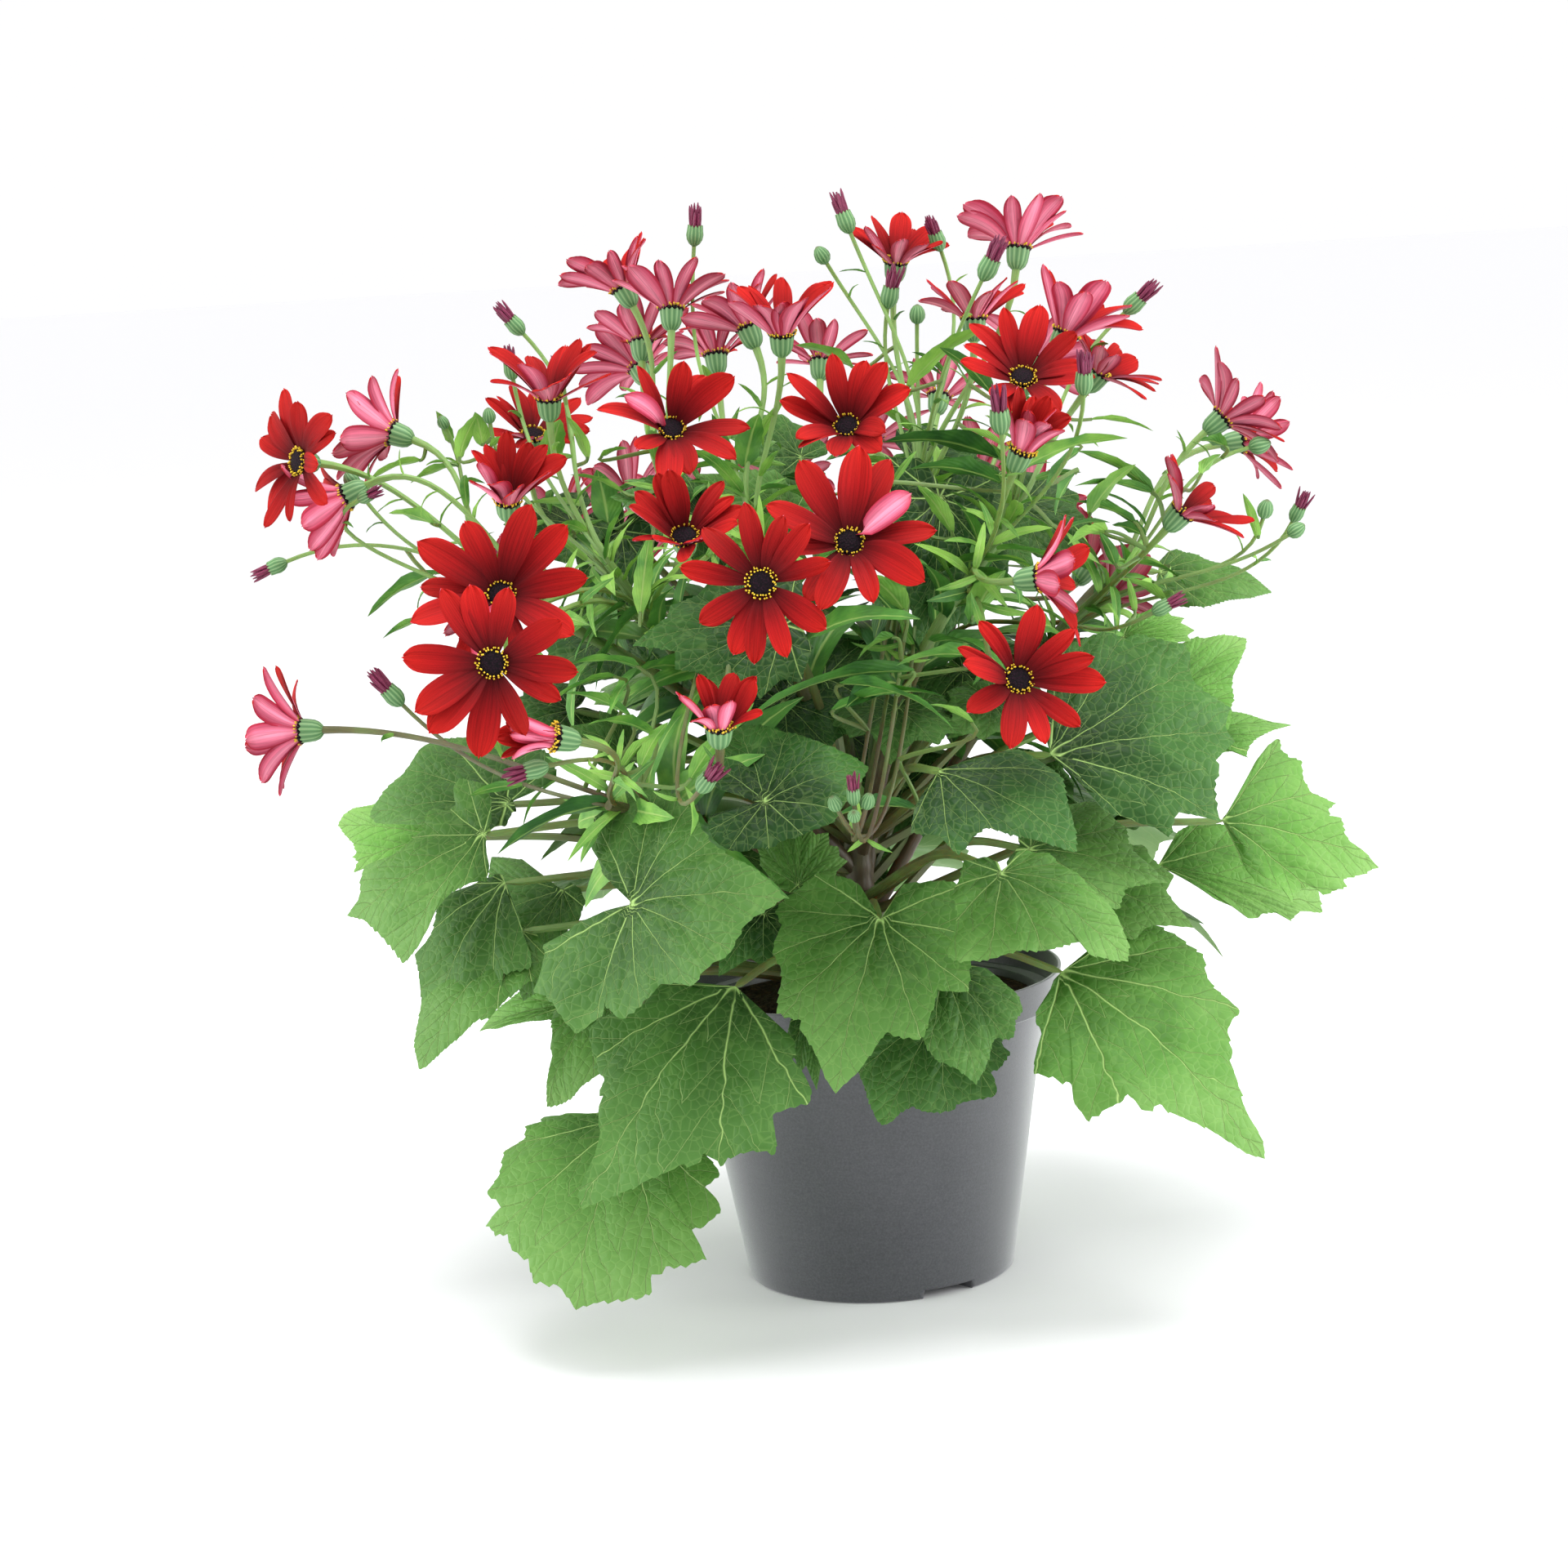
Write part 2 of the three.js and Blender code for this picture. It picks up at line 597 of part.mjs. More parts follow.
addPiece(container, "pot", potPlastic, atOrigin, makePot);
addPiece(stems, "main_stem", woodyGreen, atOrigin, makeMainStem);
addPiece(container, "potting_soil", peat, atOrigin, makeSoil);
STEMS.forEach((_, i) => {
  addPiece(stems, `flower_stem_${number(i)}`, stemGreen, atOrigin, (grow) => makeStem(i, grow));
});
LEAVES.forEach((plan, i) => {
  const frame = new THREE.Matrix4().setPosition(plan.joint);
  addPiece(foliage, `leaf_${number(i)}`, leafGreen, frame, (grow) => makeLeaf(plan, grow));
});
FLOWERS.forEach((plan, i) => {
  const frame = standing(plan.place, plan.face);
  addPiece(blooms, `flower_${number(i)}`, petalRed, frame, (grow) => makeFlower(plan, grow));
});

export default plant;
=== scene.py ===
# %% [markdown]
# A potted cineraria, a cool-grown florist's daisy in a plastic grower's pot. The CAD frame
# gives the size, the place and the plain shape of every piece. Here each piece gets the
# surface that it has in life. Lengths are millimetres until a mesh is made, then metres.

# %% The frame
import math

import bpy
import numpy as np
from mathutils import Matrix


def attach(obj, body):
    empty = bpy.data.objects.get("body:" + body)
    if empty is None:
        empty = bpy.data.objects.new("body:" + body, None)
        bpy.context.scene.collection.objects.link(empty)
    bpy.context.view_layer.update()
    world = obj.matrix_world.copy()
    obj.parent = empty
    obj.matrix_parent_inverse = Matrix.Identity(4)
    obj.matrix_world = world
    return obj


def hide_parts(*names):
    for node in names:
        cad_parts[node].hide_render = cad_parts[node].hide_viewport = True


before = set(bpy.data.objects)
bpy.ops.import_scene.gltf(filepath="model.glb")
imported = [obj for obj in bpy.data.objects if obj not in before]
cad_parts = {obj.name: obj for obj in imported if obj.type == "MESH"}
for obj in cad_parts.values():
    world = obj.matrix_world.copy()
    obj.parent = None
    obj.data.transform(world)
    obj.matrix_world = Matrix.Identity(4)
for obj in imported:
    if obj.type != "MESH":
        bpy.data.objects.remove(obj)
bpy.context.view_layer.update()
MM = 0.001
SEED = 41

# %% [markdown]
# The camera comes first, because the plant was read through it. A point of the picture, with
# a depth behind the pot's centre, is a place in space. The picture is 1920 wide and high. It
# could be matched by eye, but a pinhole view fitted to the pot's rim and foot is exact.

# %% The camera and its lines of sight
VIEW_FROM = np.array([0.0, -1500.0, 456.0])
VIEW_TURN, VIEW_DIP, VIEW_ROLL = np.radians([-1.17, 9.08, -3.4])
FOCAL = 4311
MIDDLE = 960
SENSOR = 36
UP = np.array([0.0, 0.0, 1.0])


def unit(vectors):
    """Each vector divided by its length."""
    return vectors / np.linalg.norm(vectors, axis=-1, keepdims=True)


def around(turn, reach, height):
    """A place by its turn round the pot from the front, in degrees, its reach and height."""
    t = np.radians(turn)
    return np.array([reach * np.sin(t), -reach * np.cos(t), height])


def facing(turn, rise):
    """A unit direction: turn 0 faces the front, 90 the right, and rise is above level."""
    return around(turn, math.cos(math.radians(rise)), math.sin(math.radians(rise)))


AHEAD = facing(180 - math.degrees(VIEW_TURN), -math.degrees(VIEW_DIP))
level = unit(np.cross(AHEAD, UP))
lift = np.cross(level, AHEAD)
RIGHT = math.cos(VIEW_ROLL) * level + math.sin(VIEW_ROLL) * lift
UPWARD = math.cos(VIEW_ROLL) * lift - math.sin(VIEW_ROLL) * level


def sight(u, v):
    """The direction from the camera through picture points (u, v)."""
    u, v = np.asarray(u)[..., None], np.asarray(v)[..., None]
    return AHEAD + (u - MIDDLE) / FOCAL * RIGHT + (MIDDLE - v) / FOCAL * UPWARD


def seen(u, v, depth):
    """The place on the line of sight through (u, v) that is depth behind the pot's centre."""
    line = sight(u, v)
    return VIEW_FROM + line * (depth - VIEW_FROM[1]) / line[1]


def seen_on(points, place, normal):
    """Places on the lines of sight that lie on the plane through place, square to normal."""
    lines = sight(*np.transpose(points))
    share = ((place - VIEW_FROM) @ normal) / (lines @ normal)
    return VIEW_FROM + lines * share[..., None]


camera = bpy.data.objects.new("camera", bpy.data.cameras.new("camera"))
camera.data.sensor_width = SENSOR
camera.data.lens = FOCAL / (2 * MIDDLE) * SENSOR
camera.matrix_world = Matrix(
    [[*row, place * MM] for row, place in zip(np.stack([RIGHT, UPWARD, -AHEAD], 1), VIEW_FROM)]
    + [[0, 0, 0, 1]]
)
bpy.context.collection.objects.link(camera)
bpy.context.scene.camera = camera
print("camera lens in mm:", round(camera.data.lens, 2))

# %% [markdown]
# Every piece is a mesh of grids worked out as whole arrays. Each vertex also carries a plan:
# three numbers that tell the material where on the leaf, petal or stem it is. A UV map would
# do this too, but it needs seams, and a plan kept at the vertices needs none.

# %% From arrays to a piece
NO_CORNER = -1
SHARP = math.radians(50)
totals = {"pieces": 0, "triangles": 0}


def shape(places, faces, plan, look=0):
    """Part of a piece: places, rows of four face corners (a triangle's last is NO_CORNER), the
    plan at each place, and the number of each face's material."""
    faces = np.asarray(faces)
    return places.reshape(-1, 3), faces, plan.reshape(-1, 3), np.broadcast_to(look, len(faces))


def put(name, shapes, looks, slot, *replaced):
    """Joins shapes into one object, smooth but for its sharp edges, which rides on the root
    body."""
    all_places, all_faces, all_plans, all_looks = zip(*shapes)
    starts = np.cumsum([0] + [len(places) for places in all_places[:-1]])
    places = np.concatenate(all_places) * MM
    faces = np.concatenate([np.where(f < 0, f, f + start) for f, start in zip(all_faces, starts)])
    plan = np.concatenate(all_plans)
    used = faces >= 0
    corners = used.sum(1)
    mesh = bpy.data.meshes.new(name)
    mesh.vertices.add(len(places))
    mesh.vertices.foreach_set("co", places.ravel())
    mesh.loops.add(int(corners.sum()))
    mesh.loops.foreach_set("vertex_index", faces[used])
    mesh.polygons.add(len(faces))
    mesh.polygons.foreach_set("loop_start", np.cumsum(corners) - corners)
    mesh.polygons.foreach_set("material_index", np.concatenate(all_looks))
    mesh.attributes.new("plan", "FLOAT_VECTOR", "POINT").data.foreach_set("vector", plan.ravel())
    mesh.update(calc_edges=True)
    mesh.shade_smooth()
    mesh.set_sharp_from_angle(angle=SHARP)
    for look in looks:
        mesh.materials.append(look)
    piece = bpy.data.objects.new(name, mesh)
    bpy.context.collection.objects.link(piece)
    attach(piece, "root")
    if replaced:
        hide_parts(*replaced)
    totals["pieces"] += 1
    totals["triangles"] += int((corners - 2).sum())


# %% Grids, fans and closed skins
def stacked(*numbers):
    """Numbers and arrays of them, spread over one grid and stacked as its last index."""
    return np.stack(np.broadcast_arrays(*numbers), -1)


def numbered(rows, columns):
    """The vertex numbers of a grid, row by row."""
    return np.arange(rows * columns).reshape(rows, columns)


def closed_round(numbers):
    """The same numbers with the first column again after the last, for a grid that closes."""
    return np.concatenate([numbers, numbers[:, :1]], 1)


def cells(numbers):
    """The faces of a grid from its vertex numbers, facing rows-direction x columns-direction."""
    corners = [numbers[:-1, :-1], numbers[1:, :-1], numbers[1:, 1:], numbers[:-1, 1:]]
    return np.stack(corners, -1).reshape(-1, 4)


def fan(centre, ring):
    """Triangles from a centre vertex to a closed ring of vertices."""
    ring = np.asarray(ring)
    blank = np.full(len(ring), NO_CORNER)
    return np.stack([np.full(len(ring), centre), ring, np.roll(ring, -1), blank], 1)


def lathe(places, plan, look=0):
    """A closed skin of rings: rows run along the axis and columns round it, anticlockwise seen
    from ahead. The first and last rings are closed by a fan to their own middle."""
    numbers = numbered(*places.shape[:2])
    sides = cells(closed_round(numbers))[:, ::-1]
    caps = [fan(numbers.size, numbers[0][::-1]), fan(numbers.size + 1, numbers[-1])]
    all_places = np.concatenate([places.reshape(-1, 3), places[[0, -1]].mean(1)])
    all_plans = np.concatenate([plan.reshape(-1, 3), plan[[0, -1]].mean(1)])
    return shape(all_places, np.concatenate([sides, *caps]), all_plans, look)


def shells(middle, half, plan, looks):
    """Thin closed blades, one for each first index of middle: an upper and a lower sheet, half
    a thickness each way along the normal, that share the vertices of their common edge."""
    count, rows, columns = middle.shape[:3]
    along = np.gradient(middle, axis=1)
    across = np.gradient(middle, axis=2)
    normal = unit(np.cross(along, across))
    inside = (slice(None), slice(1, -1), slice(1, -1))
    upper = middle.copy()
    upper[inside] += normal[inside] * half
    lower = middle[inside] - normal[inside] * half
    top = numbered(rows, columns)
    bottom = top.copy()
    bottom[1:-1, 1:-1] = top.size + numbered(rows - 2, columns - 2)
    faces = np.concatenate([cells(top), cells(bottom)[:, ::-1]])
    each = top.size + (rows - 2) * (columns - 2)
    places = np.concatenate([upper.reshape(count, -1, 3), lower.reshape(count, -1, 3)], 1)
    plans = np.concatenate([plan.reshape(count, -1, 3), plan[inside].reshape(count, -1, 3)], 1)
    shift = np.arange(count)[:, None, None] * each
    look = np.tile(np.repeat(looks, len(faces) // 2), count)
    return shape(places, (faces + shift).reshape(-1, 4), plans, look)


# %% [markdown]
# Stems, stalks and veins follow smooth paths. The frame's stems run through a few places on a
# centripetal Catmull-Rom curve, which never loops, and its side stalks are cubic bends. The
# same two curves are used here, so that the fine stems lie inside the plain ones' place.

# %% Smooth paths
BEND_PULL = 0.38


def through(places, share):
    """Places on the centripetal Catmull-Rom curve at shares 0 to 1 of its spans: each span is
    a cubic whose end slopes are averaged over the square roots of the chord lengths."""
    points = np.asarray(places, float)
    ends = [2 * points[0] - points[1], *points, 2 * points[-1] - points[-2]]
    position = np.clip(np.atleast_1d(share), 0, 1) * (len(points) - 1)
    span = np.minimum(position.astype(int), len(points) - 2)
    w = (position - span)[:, None]
    p = [np.array(ends)[span + i] for i in range(4)]
    d = [np.sqrt(np.linalg.norm(p[i + 1] - p[i], axis=1))[:, None] for i in range(3)]
    slopes = [
        (p[i + 1] - p[i]) / d[i] - (p[i + 2] - p[i]) / (d[i] + d[i + 1]) + (p[i + 2] - p[i + 1]) / d[i + 1]
        for i in range(2)
    ]
    near, far = slopes[0] * d[1], slopes[1] * d[1]
    rise = p[2] - p[1]
    return p[1] + near * w + (3 * rise - 2 * near - far) * w**2 + (near + far - 2 * rise) * w**3


def heading(places, share):
    """The unit direction of that curve at one share."""
    step = 1e-4
    before, after = through(places, [share - step, share + step])
    return unit(after - before)


def bend(start, start_heading, end, end_heading, share):
    """Places on the cubic bend that leaves start and reaches end along the given headings."""
    pull = np.linalg.norm(end - start) * BEND_PULL
    knots = [start, start + start_heading * pull, end - end_heading * pull, end]
    t = np.atleast_1d(share)[:, None]
    weights = [(1 - t) ** 3, 3 * t * (1 - t) ** 2, 3 * t**2 * (1 - t), t**3]
    return sum(w * k for w, k in zip(weights, knots))


def steps_for(path_length, spacing=6):
    """Shares along a path so that places lie about spacing apart."""
    return np.linspace(0, 1, max(6, int(path_length / spacing)))


def length_along(path):
    """The distance from the start to each place of a path."""
    return np.concatenate([[0], np.cumsum(np.linalg.norm(np.diff(path, axis=0), axis=1))])


# %% Circles and round stems
OLD_HEIGHT = 215
YOUNG_HEIGHT = 345


def turns_round(columns):
    """Turns evenly spaced round a circle, in radians."""
    return np.arange(columns) / columns * 2 * np.pi


def turned(reach, turn, height):
    """Places round +Z: the reach times the cosine and sine of the turn, and the height."""
    return stacked(reach * np.cos(turn), reach * np.sin(turn), height)


def circles(side, other, turn):
    """For each pair of square headings, unit steps at each turn from side towards other."""
    return np.cos(turn)[:, None] * side[:, None] + np.sin(turn)[:, None] * other[:, None]


def ripple(places, size, rng, waves=7):
    """Gentle noise: the mean of sine waves with random headings, about size apart."""
    headings = unit(rng.normal(size=(waves, 3)))
    pitch = size * rng.uniform(0.7, 1.5, waves)
    phase = rng.uniform(0, 2 * np.pi, waves)
    turns = places @ headings.T * 2 * np.pi / pitch + phase
    return np.sin(turns).mean(-1) * np.sqrt(2)


def stem(path, radius, sides=9, ribs=0.06, age=None, look=0):
    """A ribbed round stem along a path: a circle square to the path at each place, its radius
    waved by three ribs. The plan holds age (0 old, 1 young), length along and turn. Unless
    it is given, age grows with height."""
    along = unit(np.gradient(path, axis=0))
    spread = np.linalg.svd(path - path.mean(0), full_matrices=True)[2][2]
    side = unit(spread - (along @ spread)[:, None] * along)
    other = np.cross(along, side)
    turn = turns_round(sides)
    reach = np.asarray(radius)[:, None] * (1 + ribs * np.cos(3 * turn))
    places = path[:, None] + reach[..., None] * circles(side, other, turn)
    if age is None:
        age = np.clip((path[:, 2] - OLD_HEIGHT) / (YOUNG_HEIGHT - OLD_HEIGHT), 0, 1)
    plan = stacked(np.asarray(age)[:, None], length_along(path)[:, None], turn / (2 * np.pi))
    return lathe(places, plan, look)


# %% [markdown]
# Materials are built from nodes, each by a small recipe that returns its shader. A recipe
# starts from what the real stuff is and how it grew or was made. Colours are written as sRGB
# hex, as a paint chart gives them, and turned to linear light once.

# %% Nodes and colours
def srgb(code):
    """An sRGB hex colour as linear red, green, blue and 1."""
    values = np.array([int(code[i : i + 2], 16) for i in (1, 3, 5)]) / 255
    linear = np.where(values <= 0.04045, values / 12.92, ((values + 0.055) / 1.055) ** 2.4)
    return [*linear.tolist(), 1.0]


def add(tree, kind, *inputs, out=0, stops=(), **named):
    """Adds a shader node and returns one of its outputs. Inputs are values or the outputs they
    are linked from, in order or by name with a capital. Names in small letters are the node's
    settings, and stops are a ramp's places and colours."""
    node = tree.nodes.new("ShaderNode" + kind)
    for key, value in named.items():
        if key[0].islower():
            setattr(node, key, value)
    by_name = {key.replace("_", " "): value for key, value in named.items() if key[0].isupper()}
    for key, value in [*enumerate(inputs), *by_name.items()]:
        if isinstance(value, bpy.types.NodeSocket):
            tree.links.new(value, node.inputs[key])
        else:
            node.inputs[key].default_value = value
    for i, (place, code) in enumerate(stops):
        ramp = node.color_ramp.elements
        element = ramp[0] if i == 0 else ramp[-1] if i == len(stops) - 1 else ramp.new(place)
        element.position = place
        element.color = srgb(code)
    return node.outputs[out]


def material(recipe):
    """A material named for its recipe, whose surface is the shader that the recipe returns."""
    look = bpy.data.materials.new(recipe.__name__)
    look.use_nodes = True
    tree = look.node_tree
    tree.nodes.clear()
    output = tree.nodes.new("ShaderNodeOutputMaterial")
    tree.links.new(recipe(tree), output.inputs["Surface"])
    print("material made:", look.name, "with", len(tree.nodes), "nodes")
    return look


def plan_parts(tree):
    """The plan's vector and its three numbers, as outputs."""
    plan = add(tree, "Attribute", attribute_name="plan", out=1)
    return plan, *add(tree, "SeparateXYZ", plan).node.outputs


def object_place(tree):
    """The place on the piece, in metres."""
    return add(tree, "TexCoord", out=3)


def streaked(tree, plan, stretch, scale, detail):
    """Noise that reads the plan, stretched three ways so that it makes streaks."""
    stretched = add(tree, "Mapping", plan, Scale=stretch)
    return add(tree, "TexNoise", Vector=stretched, Scale=scale, Detail=detail)


def shaded(tree, body, pattern, low, high, start=0.3, end=0.7):
    """A colour times a brightness that goes from low to high as the pattern goes from start
    to end."""
    shade = add(tree, "MapRange", pattern, start, end, low, high)
    return add(tree, "MixRGB", 1.0, body, shade, blend_type="MULTIPLY")


# %% [markdown]
# The pot is injection-moulded polypropylene, much of it recycled, which gives a flat grey with
# faint darker flecks. The mould leaves a satin skin with a fine spark-eroded grain, and
# stacking and handling leave light scuffs. A thin film of dust scatters light at the sides,
# where the wall is seen at a slant; the shader's sheen does that. An image could be wrapped
# round the wall, but noise worked out from the place on the pot has no seam.

# %% Moulded grey polypropylene
FLECK = 1 / (0.9 * MM)
# The real grain is under 0.1 mm. It is drawn coarser, so that it shows.
GRAIN = 1 / (0.35 * MM)
# Cloudy patches about 36 mm wide, and scuffs 17 mm wide and 1 mm high.
CLOUD = 28.0
SCUFF = (60, 60, 900)


def moulded_polypropylene(tree):
    place = object_place(tree)
    flecks = add(tree, "TexNoise", Vector=place, Scale=FLECK, Detail=3.0)
    clouds = add(tree, "TexNoise", Vector=place, Scale=CLOUD, Detail=2.0)
    fine = add(tree, "TexNoise", Vector=place, Scale=GRAIN, Detail=2.0)
    scuffs = streaked(tree, place, SCUFF, 1.0, 5.0)
    greys = [(0.3, "#37383c"), (0.5, "#3f4044"), (0.72, "#48494e")]
    body = add(tree, "ValToRGB", flecks, stops=greys)
    body = shaded(tree, body, clouds, 0.9, 1.08, 0.1, 0.9)
    scuffed = add(tree, "MapRange", scuffs, 0.35, 0.9, 0.0, 0.07)
    body = add(tree, "MixRGB", scuffed, body, srgb("#707176"))
    rough = add(tree, "MapRange", clouds, 0.1, 0.9, 0.26, 0.36)
    bump = add(tree, "Bump", Strength=0.35, Distance=0.1 * MM, Height=fine)
    dust = {"Sheen_Weight": 1.0, "Sheen_Roughness": 0.4, "Sheen_Tint": srgb("#f6f7fa")}
    return add(tree, "BsdfPrincipled", Base_Color=body, Roughness=rough, IOR=1.52, Normal=bump, **dust)


# %% [markdown]
# The pot's wall, collar, base and inner wall are one outline turned round the axis. Three
# channels cross its foot so that water runs out. They could be cut with a boolean, but lifting
# the outline's lowest places where a channel passes keeps the mesh a clean grid.

# %% The grower's pot
POT_HEIGHT = 132
COLLAR = 14
FOOT, SHOULDER, RIM = 58, 77.6, 85
WALL, BASE = 1.6, 6
CHANNEL_TURNS = [29, 149, 269]
CHANNEL_HALF, CHANNEL_HEIGHT, CHANNEL_START = 12, 4, 16
COLUMN_STEP, EDGE_STEP = 2.5, 0.35


def rounded(corners, radii, steps=4):
    """An outline with rounded corners: each corner becomes a quadratic bend that starts and
    ends its radius away along the two sides."""
    corners = np.asarray(corners, float)
    before, after = np.roll(corners, 1, 0), np.roll(corners, -1, 0)
    before[0], after[-1] = corners[0], corners[-1]
    t = np.linspace(0, 1, steps + 1)[None, :, None]
    r = np.asarray(radii, float)[:, None]
    reach_in = np.linalg.norm(before - corners, axis=1, keepdims=True) + 1e-9
    reach_out = np.linalg.norm(after - corners, axis=1, keepdims=True) + 1e-9
    start = (corners + (before - corners) / reach_in * r)[:, None]
    end = (corners + (after - corners) / reach_out * r)[:, None]
    middle = corners[:, None]
    bends = (1 - t) ** 2 * start + 2 * t * (1 - t) * middle + t**2 * end
    keep = r[:, 0] > 0
    return np.concatenate([b if k else b[:1] for b, k in zip(bends, keep)])


def grower_pot():
    """The outline turned round the axis, with columns beside each channel's edges. Places in
    a channel, no higher than its roof, are lifted to the roof."""
    shoulder = POT_HEIGHT - COLLAR
    wall_heights = (CHANNEL_HEIGHT, CHANNEL_HEIGHT + 0.6, 30, 80)
    wall = [(FOOT + (SHOULDER - FOOT) * z / shoulder, z) for z in wall_heights]
    corners = [(1, 1), (CHANNEL_START, 0.8), (CHANNEL_START + 2, 0), (FOOT, 0), *wall]
    corners += [(SHOULDER, shoulder - 1), (RIM - 1, shoulder), (RIM - 0.6, shoulder + COLLAR / 2)]
    corners += [(RIM, POT_HEIGHT), (RIM - WALL, POT_HEIGHT), (RIM - 1 - WALL, shoulder + WALL)]
    corners += [(SHOULDER - WALL, shoulder + WALL), (FOOT + 1 - WALL, BASE), (1, BASE)]
    outline = rounded(corners, [0, 0.3, 0.3, 1.2, 0, 0, 0, 0, 0.5, 0.7, 0, 0.6, 0.6, 0.6, 0.6, 1.5, 0])
    edge = math.degrees(math.asin(CHANNEL_HALF / FOOT))
    nearby = (edge - EDGE_STEP, edge + EDGE_STEP)
    beside = [middle + side * away for middle in CHANNEL_TURNS for side in (-1, 1) for away in nearby]
    turns = np.radians(np.sort(np.concatenate([np.arange(0, 360, COLUMN_STEP), beside]))) - np.pi / 2
    reach, height = outline[:, 0][:, None], outline[:, 1][:, None]
    places = turned(reach, turns, height)
    apart = (np.degrees(turns) + 90 - np.array(CHANNEL_TURNS)[:, None] + 180) % 360 - 180
    crossed = (np.abs(apart) < edge).any(0)[None, :] & (reach > CHANNEL_START + 1)
    lifted = np.where(crossed, np.maximum(places[..., 2], CHANNEL_HEIGHT), places[..., 2])
    places[..., 2] = np.where(height < CHANNEL_HEIGHT, lifted, places[..., 2])
    return lathe(places, places * MM)


put("grower_pot", [grower_pot()], [material(moulded_polypropylene)], "pot_plastic", "pot")
print("pot made:", totals)

# %% [markdown]
# Potting soil here is peat with some wood fibre: dark brown crumbs of 1 to 4 mm with paler
# threads. Loose crumbs could be strewn as bodies of their own, but little soil shows between
# the leaves. So its surface is a crowned disc roughened by noise at two sizes, and the
# material adds the finest crumbs as bump.

# %% Peat potting soil
CRUMB = 1 / (2.2 * MM)
# Tints change over about 3 mm, the length of a fibre.
FIBRE = 320.0


def peat_and_fibre(tree):
    place = object_place(tree)
    crumbs = add(tree, "TexVoronoi", Vector=place, Scale=CRUMB)
    tints = add(tree, "TexNoise", Vector=place, Scale=FIBRE, Detail=6.0)
    browns = [(0.3, "#17100b"), (0.5, "#2e2118"), (0.66, "#46341f"), (0.8, "#7a6040")]
    body = add(tree, "ValToRGB", tints, stops=browns)
    height = add(tree, "Math", crumbs, tints, operation="ADD")
    bump = add(tree, "Bump", Strength=0.9, Distance=1.2 * MM, Height=height)
    return add(tree, "BsdfPrincipled", Base_Color=body, Roughness=0.95, Specular_IOR_Level=0.2, Normal=bump)


# %% The soil in the pot
SOIL_TOP, SOIL_CROWN, SOIL_GAP = 117, 2.5, 0.4
SOIL_RINGS, SOIL_COLUMNS = 44, 120


def soil_fill():
    """Rings from the middle of the underside, up the wall and over the top to its middle. The
    top is a low dome with noise of 14 mm and 4 mm waves, which fades out at the wall."""
    rng = np.random.default_rng([SEED, 1])
    slope = (SHOULDER - FOOT) / (POT_HEIGHT - COLLAR)
    inner = FOOT - WALL - 1 + slope * (SOIL_TOP - BASE)
    top = np.linspace(1, 0.01, SOIL_RINGS)
    reach = np.concatenate([[1, 30, FOOT - WALL - 1, inner - 0.8], inner * top])
    under = [BASE + SOIL_GAP] * 3
    height = np.concatenate([under, [SOIL_TOP - 3], SOIL_TOP + SOIL_CROWN * (1 - top**2)])
    places = turned(reach[:, None], turns_round(SOIL_COLUMNS), height[:, None])
    flat = places * [1, 1, 0]
    rough = 1.8 * ripple(flat, 14, rng) + 1.3 * ripple(flat, 4, rng, 12)
    fade = np.concatenate([np.zeros(4), np.clip((1 - top) * 8, 0, 1)])[:, None]
    places[..., 2] += rough * fade
    return lathe(places, places * MM)


put("peat_soil", [soil_fill()], [material(peat_and_fibre)], "potting_soil", "potting_soil")
print("soil made:", totals)

# %% [markdown]
# Stems are ribbed and slightly glossy. The oldest wood is brown and new growth is light green.
# Each stem could have a material of its own, but one that reads the age in the plan gives the
# change along every stem, with long streaks that follow the ribs.

# %% Ribbed green stem
# Patches of older and younger skin, about 26 mm long.
FLUSH = 38.0


def ribbed_stem_skin(tree):
    plan, age, *_ = plan_parts(tree)
    streaks = streaked(tree, plan, (1.0, 0.05, 14.0), 3.0, 4.0)
    flush = add(tree, "TexNoise", Vector=object_place(tree), Scale=FLUSH)
    spread = add(tree, "MapRange", flush, 0.3, 0.7, -0.22, 0.22)
    aged = add(tree, "Math", age, spread, operation="ADD", use_clamp=True)
    greens = [(0.0, "#453a25"), (0.3, "#525a2e"), (0.6, "#597a36"), (1.0, "#6f964a")]
    body = add(tree, "ValToRGB", aged, stops=greens)
    body = shaded(tree, body, streaks, 0.72, 1.22)
    bump = add(tree, "Bump", Strength=0.5, Distance=0.3 * MM, Height=streaks)
    return add(tree, "BsdfPrincipled", Base_Color=body, Roughness=0.5, Subsurface_Weight=0.05, Normal=bump)


stem_skin = material(ribbed_stem_skin)

# %% [markdown]
# The main stem is short and woody and swells where shoots leave it. A plain cone would give
# its size, but not its growth, so it is a path that sways a little round the axis, with a
# ring of swelling at each node and a radius that follows the frame's.

# %% The main stem
MAIN_FOOT, MAIN_TOP = 62, 204
MAIN_ROWS = 72
NODE_SPACING = 17


def main_stem():
    """A path that sways by 0.7 mm, with a radius of 4 to 7 mm and back, and a swelling at
    every node."""
    height = np.linspace(MAIN_FOOT, MAIN_TOP, MAIN_ROWS)
    lean = np.stack([np.sin(height / 31), np.cos(height / 37), 0 * height], 1) * 0.7
    path = lean + height[:, None] * UP
    radius = np.interp(height, [MAIN_FOOT, SOIL_TOP, MAIN_TOP - 6, MAIN_TOP], [4.2, 7, 5.4, 2])
    swelling = 1 + 0.12 * np.cos(2 * np.pi * height / NODE_SPACING) ** 8
    return stem(path, radius * swelling, 16, 0.04, np.full(len(path), 0.12))


put("woody_main_stem", [main_stem()], [stem_skin], "woody_stem", "main_stem")
print("main stem made:", totals)

